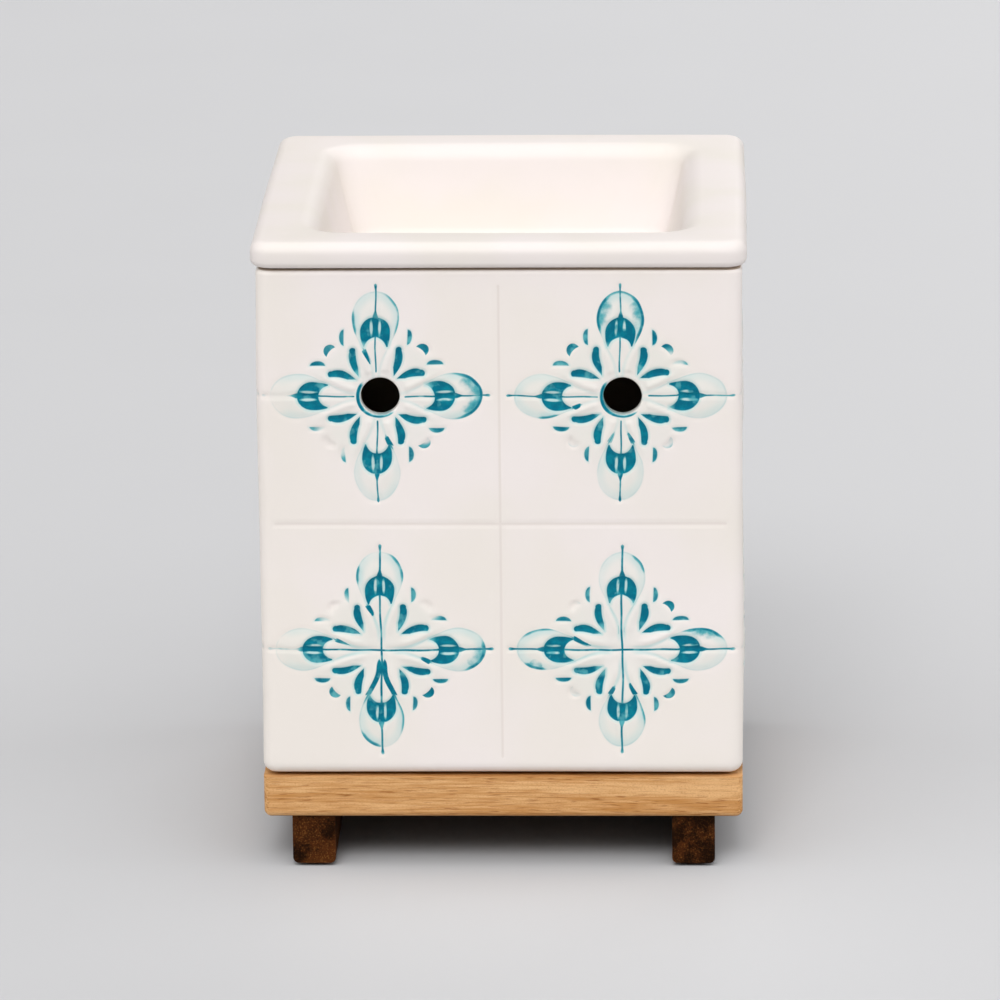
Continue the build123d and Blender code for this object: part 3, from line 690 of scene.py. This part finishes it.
def mirror_facets(finish, tint):
    """Aluminised reflector pressed in rings of small facets."""
    x, y, z = finish.axes()
    around = y.math("ARCTAN2", y, x)
    facets = 0.5 * size(wave(14 * around)) + 0.5 * size(wave(0.9 * z))
    haze = finish.noise(10, 2)
    colours = finish.blend(ease(haze, 0.4, 0.75), tint, shade(tint, 0.85))
    return finish.surface(
        Base_Color=colours, Metallic=1.0, Roughness=0.08 + 0.1 * haze, Normal=finish.bump(facets, 0.5, 0.8))


def clear_glass(finish, tint):
    """Clear glass with a faint ripple and a little dust."""
    dust = ease(finish.noise(1.5, 3), 0.5, 0.8)
    colours = finish.blend(dust, (0.97, 0.98, 0.98, 1), tint)
    return finish.surface(
        Base_Color=colours, Roughness=0.03 + 0.1 * dust, Transmission_Weight=1.0, IOR=1.47,
        Normal=finish.bump(finish.noise(6, 1), 0.05, 0.4))


def nylon(finish, tint):
    """Moulded nylon with a soft sheen."""
    cloud = ease(finish.noise(4, 2), 0.35, 0.7)
    colours = finish.blend(cloud, tint, shade(tint, 0.8))
    return finish.surface(
        Base_Color=colours, Roughness=0.38 + 0.12 * cloud,
        Normal=finish.bump(finish.noise(0.8, 2), 0.02, 0.4))


EVEN = (1, 1, 1)
ALONG_X = (0.06, 1, 1)
ROUND_Z = (1, 1, 0.2)
FINISHES = {
    "gasket_rubber": (rubber, (58, 54, 51)),
    "pad_rubber": (rubber, (66, 63, 60)),
    "grommet_rubber": (rubber, (40, 39, 39)),
    "lead_black": (rubber, (36, 36, 37)),
    "lead_white": (rubber, (226, 223, 214)),
    "plated_steel": (plated, (205, 205, 200), EVEN, 0.28),
    "bracket_steel": (plated, (196, 197, 196), ALONG_X, 0.32),
    "contact_bronze": (plated, (205, 158, 104), EVEN, 0.25),
    "pin_nickel": (plated, (212, 208, 198), ROUND_Z, 0.16),
    "filament_tungsten": (plated, (120, 118, 116), ROUND_Z, 0.4),
    "steatite": (bare_ceramic, (232, 228, 218)),
    "lamp_ceramic": (bare_ceramic, (236, 234, 227)),
    "reflector_mirror": (mirror_facets, (226, 228, 232)),
    "lamp_glass": (clear_glass, (222, 230, 232)),
    "splice_nylon": (nylon, (84, 118, 176)),
}
finished = {}


def dress(node):
    """Gives a CAD piece the finish of its material slot."""
    slot = SLOT_OF_NODE[node]
    if slot not in finished:
        make, screen, *facts = FINISHES[slot]
        finished[slot] = make(Finish(slot), srgb(*screen), *facts)
    paint(frame["nodes"][node], finished[slot])


def paint(piece, material):
    if not piece.material_slots:
        piece.data.materials.append(material)
    for place in piece.material_slots:
        place.material = material


# Meshes

JOIN_DISTANCE = 0.01 * MM
LEVEL_TOLERANCE = 0.02 * MM
ARC_COUNT = 12
BEND_COUNT = 9
HOLE_COUNT = 32
PATCH_STEPS = 12
PATCH_RINGS = 7
COARSE_STEPS = 8
WASHER_R = 4.5 * MM
SOFT = 0.5 * MM
RIM_DROP = 0.32
RIM_TILT = 0.16
# Outwards and down from the inner edge of the body's rim, as shares of the rim's radius
LIP_CURVE = ((0.6, 0), (0.2, 0.1), (0, 0.4), (0, 1))
FLAT_COUNT = 25
LEAST_CORNER = 0.2 * MM
EDGE_FLAT = 2 * MM
EDGE_TUCK = 0.2 * MM
BOWL_SHARES = (0.02, 0.2, 0.4, 0.6, 0.75)
UNDER_SHARES = (0.7, 0.5, 0.3, 0.1, 0.02)
RIGHT_ANGLE = math.pi / 2


class Shell:
    """Points and faces of one piece, joined into a closed mesh."""

    def __init__(self):
        self.points = []
        self.faces = []
        self.count = 0

    def add(self, points):
        """Adds points and gives their numbers, in the same arrangement."""
        points = np.asarray(points, float)
        numbers = np.arange(self.count, self.count + points[..., 0].size).reshape(points.shape[:-1])
        self.points.append(points.reshape(-1, 3))
        self.count += numbers.size
        return numbers

    def quads(self, numbers, keep=None):
        """Faces between neighbours of a grid of point numbers."""
        corners = (numbers[:-1, :-1], numbers[1:, :-1], numbers[1:, 1:], numbers[:-1, 1:])
        cells = np.stack(corners, -1)
        self.faces.extend((cells[keep] if keep is not None else cells.reshape(-1, 4)).tolist())

    def rings(self, rings):
        """A closed band of faces through rings of points."""
        closed = [np.concatenate([ring, ring[:1]]) for ring in rings]
        self.quads(self.add(np.array(closed)))

    def mesh(self, name, flat_levels, uneven):
        """The joined mesh, with the open loops at the flat levels filled, made uneven as fired clay is."""
        data = bpy.data.meshes.new(name)
        data.from_pydata(np.concatenate(self.points).tolist(), [], self.faces)
        made = bmesh.new()
        made.from_mesh(data)
        bmesh.ops.remove_doubles(made, verts=made.verts, dist=JOIN_DISTANCE)
        for level in flat_levels:
            loops = [
                edge for edge in made.edges if edge.is_boundary
                and all(abs(end.co.z - level) < LEVEL_TOLERANCE for end in edge.verts)]
            bmesh.ops.triangle_fill(made, edges=loops, use_beauty=True)
        bmesh.ops.recalc_face_normals(made, faces=made.faces)
        made.to_mesh(data)
        made.free()
        data.shade_smooth()
        places = np.empty(len(data.vertices) * 3)
        data.vertices.foreach_get("co", places)
        moved = np.stack(uneven(*places.reshape(-1, 3).T / MM), -1) * MM
        data.vertices.foreach_set("co", moved.ravel())
        data.update()
        return data


def put(name, data):
    """A new object in the scene."""
    piece = bpy.data.objects.new(name, data)
    bpy.context.scene.collection.objects.link(piece)
    return piece


def place_piece(name, data, body, node, material):
    """Puts a mesh into the scene in the place of a CAD piece."""
    piece = put(name, data)
    data.materials.append(material)
    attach(piece, body)
    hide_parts(node)


def spaced(stops, step):
    """Places along a line through the stops, about a step apart."""
    runs = [np.linspace(a, b, max(2, round((b - a) / step) + 1)) for a, b in zip(stops, stops[1:])]
    return np.concatenate([run[:-1] for run in runs] + [runs[-1][-1:]])


def bend(start, end, count):
    """Evenly spaced angles from start to end, which are in degrees."""
    return np.radians(np.linspace(start, end, count))


def turned(points, quarter):
    """Points turned about +Z by quarter turns."""
    x, y, z = points[..., 0], points[..., 1], points[..., 2]
    for _ in range(quarter):
        x, y = 0 - y, x
    return np.stack([x, y, z], -1)


def square_ring(flat, half, radius, z):
    """A ring of points: a square with rounded corners, flat giving the places along each straight side."""
    front = np.stack([flat, np.full_like(flat, -half)], -1)
    angles = bend(-90, 0, ARC_COUNT + 1)[1:-1]
    middle = half - radius
    corner = np.stack([middle + radius * np.cos(angles), radius * np.sin(angles) - middle], -1)
    side = np.concatenate([front, corner])
    side = np.concatenate([side, np.full((len(side), 1), z)], 1)
    return np.concatenate([turned(side, quarter) for quarter in QUARTER_TURNS])


class BodyMesh:
    """The ceramic body: four pressed sides with vents, rounded edges, the chamber and its floor."""

    def __init__(self, settings):
        self.s = settings
        self.shell = Shell()
        self.half = (BODY_HIGH.x - BODY_LOW.x) / 2
        self.inner_half = self.half - settings.wall
        self.flat_half = self.half - settings.corner
        self.low = BODY_LOW.z + settings.foot
        self.high = BODY_HIGH.z - settings.rim
        self.floor_top = BODY_LOW.z + settings.floor
        self.vent_x = self.half / 2
        self.vent_z = (BODY_LOW.z + 3 * BODY_HIGH.z) / 4
        self.drilled_off = (VENT_OFF[0] - MOTIF_LEFT) * MM
        self.patch = PATCH_STEPS * settings.step
        self.patch_end = self.vent_x + self.patch
        stops = [self.vent_x - self.patch, self.patch_end, self.flat_half]
        self.flat = spaced([-stop for stop in reversed(stops)] + stops, settings.step)
        vent_stops = [self.vent_z - self.patch, self.vent_z + self.patch]
        self.levels = spaced([self.low, *vent_stops, self.high], settings.step)
        coarse = COARSE_STEPS * settings.step
        below = spaced([self.floor_top, vent_stops[0]], coarse)[:-1]
        above = spaced([vent_stops[1], self.high], coarse)[1:]
        self.inner_levels = np.concatenate([below, spaced(vent_stops, settings.step), above])

    def flat_for(self, half, radius):
        """The places along a side whose straight part ends where its corners start."""
        start = self.patch_end
        shrink = (half - radius - start) / (self.flat_half - start)
        drawn_in = start + (np.abs(self.flat) - start) * shrink
        return np.where(np.abs(self.flat) > start, np.sign(self.flat) * drawn_in, self.flat)

    def pressed(self, points, normals):
        """Moves points of the outside by the relief of the ornament."""
        x, y, z = (points[..., axis] / MM for axis in range(3))
        return points + normals * (relief(Ornament(x, y, z)) * MM)[..., None]

    def vent_loop(self):
        """The edge of the square patch around a vent, as offsets from its middle."""
        along = np.linspace(-self.patch, self.patch, 2 * PATCH_STEPS + 1)[:-1]
        edge = np.stack([along, np.full_like(along, -self.patch)], -1)
        loops = [edge]
        for _ in range(3):
            edge = np.stack([-edge[:, 1], edge[:, 0]], -1)
            loops.append(edge)
        return np.concatenate(loops)

    def side(self, quarter):
        normal = turned(np.array([0.0, -1.0, 0.0]), quarter)

        def wall(flat, levels, half, press):
            x, z = np.meshgrid(flat, levels)
            points = turned(np.stack([x, np.full_like(x, -half), z], -1), quarter)
            numbers = self.shell.add(self.pressed(points, normal) if press else points)
            mid_x = (x[1:, 1:] + x[:-1, :-1]) / 2
            mid_z = (z[1:, 1:] + z[:-1, :-1]) / 2
            off = np.maximum(np.abs(np.abs(mid_x) - self.vent_x), np.abs(mid_z - self.vent_z))
            self.shell.quads(numbers, off > self.patch)

        wall(self.flat, self.levels, self.half, True)
        inner_flat = self.flat_for(self.inner_half, self.s.chamber_corner)
        wall(inner_flat, self.inner_levels, self.inner_half, False)
        for x in (-self.vent_x, self.vent_x):
            self.vent(x, quarter, normal)

    def vent(self, x, quarter, normal):
        """A round hole: the patch around it, its rounded edge, its neck and the patch inside."""
        square = self.vent_loop()
        circle = square / np.linalg.norm(square, axis=1)[:, None]
        radius = self.s.vent / 2
        edge = self.s.vent_edge
        wide = radius + self.s.vent_flare
        shares = np.linspace(0, 1, PATCH_RINGS)
        outer = [(square * (1 - share) + circle * (radius + edge) * share, self.half) for share in shares]
        round_in = [
            (circle * (radius + edge * (1 - math.sin(turn))), self.half - edge * (1 - math.cos(turn)))
            for turn in bend(0, 90, 6)[1:]]
        neck = [(circle * radius, self.half - self.s.vent_neck)]
        inner = [
            (square * (1 - share) + circle * wide * share, self.inner_half) for share in reversed(shares)]
        rings = []
        for loop, half in outer + round_in + neck + inner:
            inward = 1 - np.clip((np.linalg.norm(loop, axis=1) - radius) / (self.patch - radius), 0, 1)
            across = x + loop[:, 0] + self.drilled_off * inward
            points = np.stack([across, np.full(len(loop), -half), self.vent_z + loop[:, 1]], -1)
            rings.append(turned(points, quarter))
        for index in range(len(outer)):
            rings[index] = self.pressed(rings[index], normal)
        self.shell.rings(rings)

    def corner(self, quarter):
        for levels, half, radius, press in (
                (self.levels, self.half, self.s.corner, True),
                (self.inner_levels, self.inner_half, self.s.chamber_corner, False)):
            turn, z = np.meshgrid(bend(-90, 0, ARC_COUNT + 1), levels)
            out = np.stack([np.cos(turn), np.sin(turn), np.zeros_like(z)], -1)
            middle = half - radius
            points = out * radius + np.stack([np.full_like(z, middle), np.full_like(z, -middle), z], -1)
            points, out = turned(points, quarter), turned(out, quarter)
            self.shell.quads(self.shell.add(self.pressed(points, out) if press else points))

    def edge(self, profile):
        """A band all round from a profile of (half width, corner radius, height)."""
        self.shell.rings([
            square_ring(self.flat_for(half, radius), half, radius, z) for half, radius, z in profile])

    def rounded(self, radius, z, way, count):
        """The profile of an outer edge that rounds inwards from height z, upwards or downwards."""
        curve = [(radius * (1 - math.cos(turn)), radius * math.sin(turn)) for turn in bend(0, 90, count)]
        return [(self.half - inward, self.s.corner - inward, z + way * rise) for inward, rise in curve]

    def build(self):
        s = self.s
        for quarter in QUARTER_TURNS:
            self.side(quarter)
            self.corner(quarter)
        lip = [
            (self.inner_half + s.rim * out, s.chamber_corner + s.rim * out, BODY_HIGH.z - s.rim * down)
            for out, down in LIP_CURVE]
        self.edge(self.rounded(s.foot, self.low, -1, 7))
        self.edge(self.rounded(s.rim, self.high, 1, 6) + lip)
        self.floor_holes()
        return self.shell.mesh("ceramic_body", (self.floor_top, BODY_LOW.z), self.uneven)

    def floor_holes(self):
        far_x, far_y = WASHER_HIGH.x - WASHER_R, WASHER_HIGH.y - WASHER_R
        wires = ((GROMMET_LOW.x + GROMMET_HIGH.x) / 2, (GROMMET_LOW.y + GROMMET_HIGH.y) / 2)
        bolts = [(x, y) for x in (-far_x, far_x) for y in (-far_y, far_y)]
        holes = [(bolt, self.s.bolt_hole) for bolt in bolts] + [(wires, self.s.wire_hole)]
        turns = np.linspace(0, 2 * math.pi, HOLE_COUNT + 1)[:-1]
        for (x, y), width in holes:
            circle = (x + width / 2 * np.cos(turns), y + width / 2 * np.sin(turns))
            levels = (self.floor_top, BODY_LOW.z)
            self.shell.rings([np.stack([*circle, np.full(HOLE_COUNT, z)], -1) for z in levels])

    def uneven(self, x, y, z):
        """The slight slump, sway and low rim of the fired body, in millimetres."""
        low, high, half = BODY_LOW.z / MM, BODY_HIGH.z / MM, self.half / MM
        wide = 1 + self.s.slump * (0.45 - (z - low) / (high - low))
        sway = 0.12 * np.sin(0.06 * z + 0.05 * x + 1.2) + 0.06 * np.sin(0.11 * z - 0.07 * x)
        lean = 0.12 * np.sin(0.05 * z - 0.06 * x + 0.4)
        on_rim = np.clip((z - high) / 2 + 1, 0, 1)
        return x * wide + sway, y * wide + lean, z - on_rim * (RIM_DROP - RIM_TILT * x / half)


def dish_mesh(s, body):
    """The dish, from the middle of its bowl over the rim to the middle of its underside."""
    top, low = DISH_HIGH.z, DISH_LOW.z
    half = (DISH_HIGH.x - DISH_LOW.x) / 2
    seat = top - s.flange
    floor = top - s.depth
    slope, lean = math.tan(s.draft), math.cos(s.draft)
    bowl = half - s.rim_width
    floor_half = bowl - s.depth * slope
    profile = [(floor_half * share, s.bowl_corner * share, floor) for share in BOWL_SHARES]

    def rounded(mid_half, mid_z, radius, start, end, corner, at_half):
        """Part of a circle in the section, with the plan's corner radius known at one half width."""
        for turn in np.linspace(start, end, BEND_COUNT):
            reach = mid_half + radius * math.cos(turn)
            plan = corner + max(reach - at_half, -corner * 0.9)
            profile.append((reach, plan, mid_z + radius * math.sin(turn)))

    def hollow(side_half, z, start, end):
        """The rounding between a sloping side and a floor at height z, seen in the section."""
        mid = side_half + s.hollow * slope - s.hollow / lean
        rounded(mid, z + s.hollow, s.hollow, start, end, s.bowl_corner, mid + s.hollow)

    hollow(floor_half, floor, -RIGHT_ANGLE, -s.draft)
    lip_mid = bowl + s.lip / lean - s.lip * slope
    lip_end = lip_mid - s.lip * lean
    rounded(lip_mid, top - s.lip, s.lip, math.pi - s.draft, RIGHT_ANGLE, s.bowl_corner, lip_end)
    edge_mid = half - s.edge
    profile.append((edge_mid - EDGE_FLAT, s.corner - s.edge - EDGE_TUCK, top))
    rounded(edge_mid, top - s.edge, s.edge, RIGHT_ANGLE, 0, s.corner, half)
    rounded(half - s.low_edge, seat + s.low_edge, s.low_edge, 0, -RIGHT_ANGLE, s.corner, half)

    step_half = (BODY_HIGH.x - BODY_LOW.x) / 2 - body.wall - s.step_gap
    step_corner = body.chamber_corner
    step_low = seat - s.step_height
    under_half = floor_half + s.wall / lean - (floor - low) * slope
    collar = under_half + (step_low - low) * slope
    profile += [
        (step_half + SOFT, step_corner + SOFT, seat), (step_half, step_corner, seat - SOFT),
        (step_half, step_corner, step_low + SOFT), (step_half - SOFT, step_corner - SOFT, step_low),
        (collar + SOFT, s.bowl_corner, step_low), (collar, s.bowl_corner, step_low - SOFT)]
    hollow(under_half, low, -s.draft, -RIGHT_ANGLE)
    profile += [(under_half * share, s.bowl_corner * share, low) for share in UNDER_SHARES]

    def uneven(x, y, z):
        """The slight waviness of the fired dish, in millimetres."""
        lift = 0.1 * np.sin(0.05 * x + 0.9) * np.sin(0.045 * y + 0.4) * (z > (seat + SOFT) / MM)
        return x + 0.1 * np.sin(0.07 * y + 0.03 * x), y + 0.1 * np.sin(0.06 * x + 1), z + lift

    shell = Shell()
    rings = []
    for reach, corner, z in profile:
        corner = min(max(corner, LEAST_CORNER), reach * 0.95)
        flat = np.linspace(corner - reach, reach - corner, FLAT_COUNT)
        rings.append(square_ring(flat, reach, corner, z))
    shell.rings(rings)
    return shell.mesh("ceramic_dish", (floor, low), uneven)


# Operators

BASE_FITTINGS = (
    "runner_screws", "foot_pads", "base_bolts", "base_washers", "base_nuts", "base_gasket", "cord_grommet")
LAMP_PIECES = (
    "lamp_reflector", "lamp_lens", "lamp_base", "lamp_pins", "lamp_capsule", "lamp_filament", "lamp_bracket",
    "lampholder_body", "lampholder_cap", "lampholder_contacts", "holder_screws", "holder_nuts", "lead_live",
    "lead_neutral", "lead_splices")
LIT_POINT = Vector((0, 0, 0.08))
LIGHT_PLACES = {"fill": (1.6, 0.1, 0.9), "side": (-1.6, 0.1, 0.9), "back": (0.5, 1.5, 1.0)}
LIGHT_WIDTH = 1.0
SKY_TINT = (1.0, 0.997, 0.99, 1)
SKY_SPREAD = (0.2, 0.95)
SKY_ABOVE = (0.22, 0.7)
BACKDROP_BELOW = (0.12, 0.06)
SENSOR_WIDTH = 36
SIGHT_END = 100


class WARMER_OT_body(Operator):
    """Build the tiled ceramic body"""
    bl_idname = "warmer.body"
    bl_label = "Ceramic Body"

    def execute(self, context):
        data = BodyMesh(context.scene.warmer_body).build()
        place_piece("ceramic_body", data, "warmer", "housing", tile_glaze(context.scene.warmer_glaze))
        return {"FINISHED"}


class WARMER_OT_dish(Operator):
    """Build the lift-off dish"""
    bl_idname = "warmer.dish"
    bl_label = "Wax Dish"

    def execute(self, context):
        data = dish_mesh(context.scene.warmer_dish, context.scene.warmer_body)
        place_piece("ceramic_dish", data, "dish", "wax_dish", dish_glaze(context.scene.warmer_glaze))
        return {"FINISHED"}


class WARMER_OT_base(Operator):
    """Finish the board, its runners and their fastenings"""
    bl_idname = "warmer.base"
    bl_label = "Wooden Base"

    def execute(self, context):
        wood = context.scene.warmer_wood
        paint(frame["nodes"]["base_board"], board_wood(wood))
        dark = runner_wood(wood)
        for node in ("runner_left", "runner_right"):
            paint(frame["nodes"][node], dark)
        for node in BASE_FITTINGS:
            dress(node)
        return {"FINISHED"}


class WARMER_OT_lamp(Operator):
    """Finish the lamp, its holder, bracket and wiring"""
    bl_idname = "warmer.lamp"
    bl_label = "Lamp And Holder"

    def execute(self, context):
        for node in LAMP_PIECES:
            dress(node)
        return {"FINISHED"}


class WARMER_OT_stage(Operator):
    """Set up the floor, the light and the camera"""
    bl_idname = "warmer.stage"
    bl_label = "Stage"

    def execute(self, context):
        s = context.scene.warmer_stage
        self.floor(s)
        self.sky(context, s)
        self.lights(s)
        self.camera(context, s)
        return {"FINISHED"}

    def floor(self, s):
        data = bpy.data.meshes.new("floor")
        reach = s.floor_size / 2
        corners = [(-reach, -reach, 0), (reach, -reach, 0), (reach, reach, 0), (-reach, reach, 0)]
        data.from_pydata(corners, [], [(0, 1, 2, 3)])
        floor = put("floor", data)
        finish = Finish("floor_paint")
        cloud = finish.noise(60, 2)
        data.materials.append(finish.surface(Base_Color=s.floor, Roughness=0.6 + 0.1 * cloud))

    def toward(self, turn, rise):
        """The direction of a light that stands left of the camera and above the ground."""
        level = math.cos(rise)
        return Vector((-math.sin(turn) * level, -math.cos(turn) * level, math.sin(rise)))

    def sky(self, context, s):
        """A broad soft light high in front of the object, dim near the ground, over a pale backdrop."""
        world = bpy.data.worlds.new("studio")
        world.use_nodes = True
        nodes = Nodes(world.node_tree)
        toward = nodes.add("ShaderNodeTexCoord", {}, {}, "Generated")
        facing = {0: toward, 1: self.toward(s.key_turn, s.sky_rise)}
        near_light = nodes.add("ShaderNodeVectorMath", {"operation": "DOT_PRODUCT"}, facing, "Value")
        height = nodes.add("ShaderNodeSeparateXYZ", {}, {0: toward}, "Z")
        strength = s.horizon + s.sky * ease(near_light, *SKY_SPREAD) * ease(height, *SKY_ABOVE)
        strength = strength + s.backdrop * ease(height, *BACKDROP_BELOW)
        background = world.node_tree.nodes["Background"].inputs
        background["Color"].default_value = SKY_TINT
        nodes.feed(background["Strength"], strength)
        context.scene.world = world

    def lights(self, s):
        key = self.light("key", "SUN", s.key, LIT_POINT + self.toward(s.key_turn, s.key_rise))
        key.angle = s.key_spread
        for name, place in LIGHT_PLACES.items():
            self.light(name, "AREA", getattr(s, name), Vector(place)).size = LIGHT_WIDTH

    def light(self, name, kind, power, place):
        """A light at that place, turned towards the object."""
        data = bpy.data.lights.new(name, kind)
        data.energy = power
        lamp = put(name, data)
        lamp.location = place
        lamp.rotation_euler = (LIT_POINT - place).to_track_quat("-Z", "Y").to_euler()
        return data

    def camera(self, context, s):
        data = bpy.data.cameras.new("camera")
        data.lens = s.lens
        data.sensor_width = SENSOR_WIDTH
        data.clip_end = SIGHT_END
        camera = put("camera", data)
        aim = Matrix.Rotation(s.yaw, 4, "Z") @ Matrix.Rotation(RIGHT_ANGLE - s.pitch, 4, "X")
        camera.matrix_world = Matrix.Translation(s.camera) @ aim @ Matrix.Rotation(s.roll, 4, "Z")
        context.scene.camera = camera
        context.scene.view_settings.view_transform = "Standard"


OPERATORS = (WARMER_OT_stage, WARMER_OT_body, WARMER_OT_dish, WARMER_OT_base, WARMER_OT_lamp)
SETTINGS = {
    "warmer_body": BodySettings,
    "warmer_dish": DishSettings,
    "warmer_glaze": GlazeSettings,
    "warmer_wood": WoodSettings,
    "warmer_stage": StageSettings,
}


class WARMER_PT_panel(Panel):
    """Settings and builders of the warmer"""
    bl_idname = "WARMER_PT_panel"
    bl_label = "Wax Melt Warmer"
    bl_space_type = "VIEW_3D"
    bl_region_type = "UI"
    bl_category = "Warmer"

    def draw(self, context):
        for operator in OPERATORS:
            self.layout.operator(operator.bl_idname)
        for name, group in SETTINGS.items():
            column = self.layout.column()
            column.label(text=group.__doc__)
            for setting in group.__annotations__:
                column.prop(getattr(context.scene, name), setting)


CLASSES = (*SETTINGS.values(), *OPERATORS, WARMER_PT_panel)


def register():
    for part in CLASSES:
        bpy.utils.register_class(part)
    for name, group in SETTINGS.items():
        setattr(bpy.types.Scene, name, PointerProperty(type=group))


def unregister():
    for name in SETTINGS:
        delattr(bpy.types.Scene, name)
    for part in reversed(CLASSES):
        bpy.utils.unregister_class(part)


def main():
    register()
    bpy.ops.warmer.stage()
    bpy.ops.warmer.body()
    bpy.ops.warmer.dish()
    bpy.ops.warmer.base()
    bpy.ops.warmer.lamp()


if __name__ == "__main__":
    main()
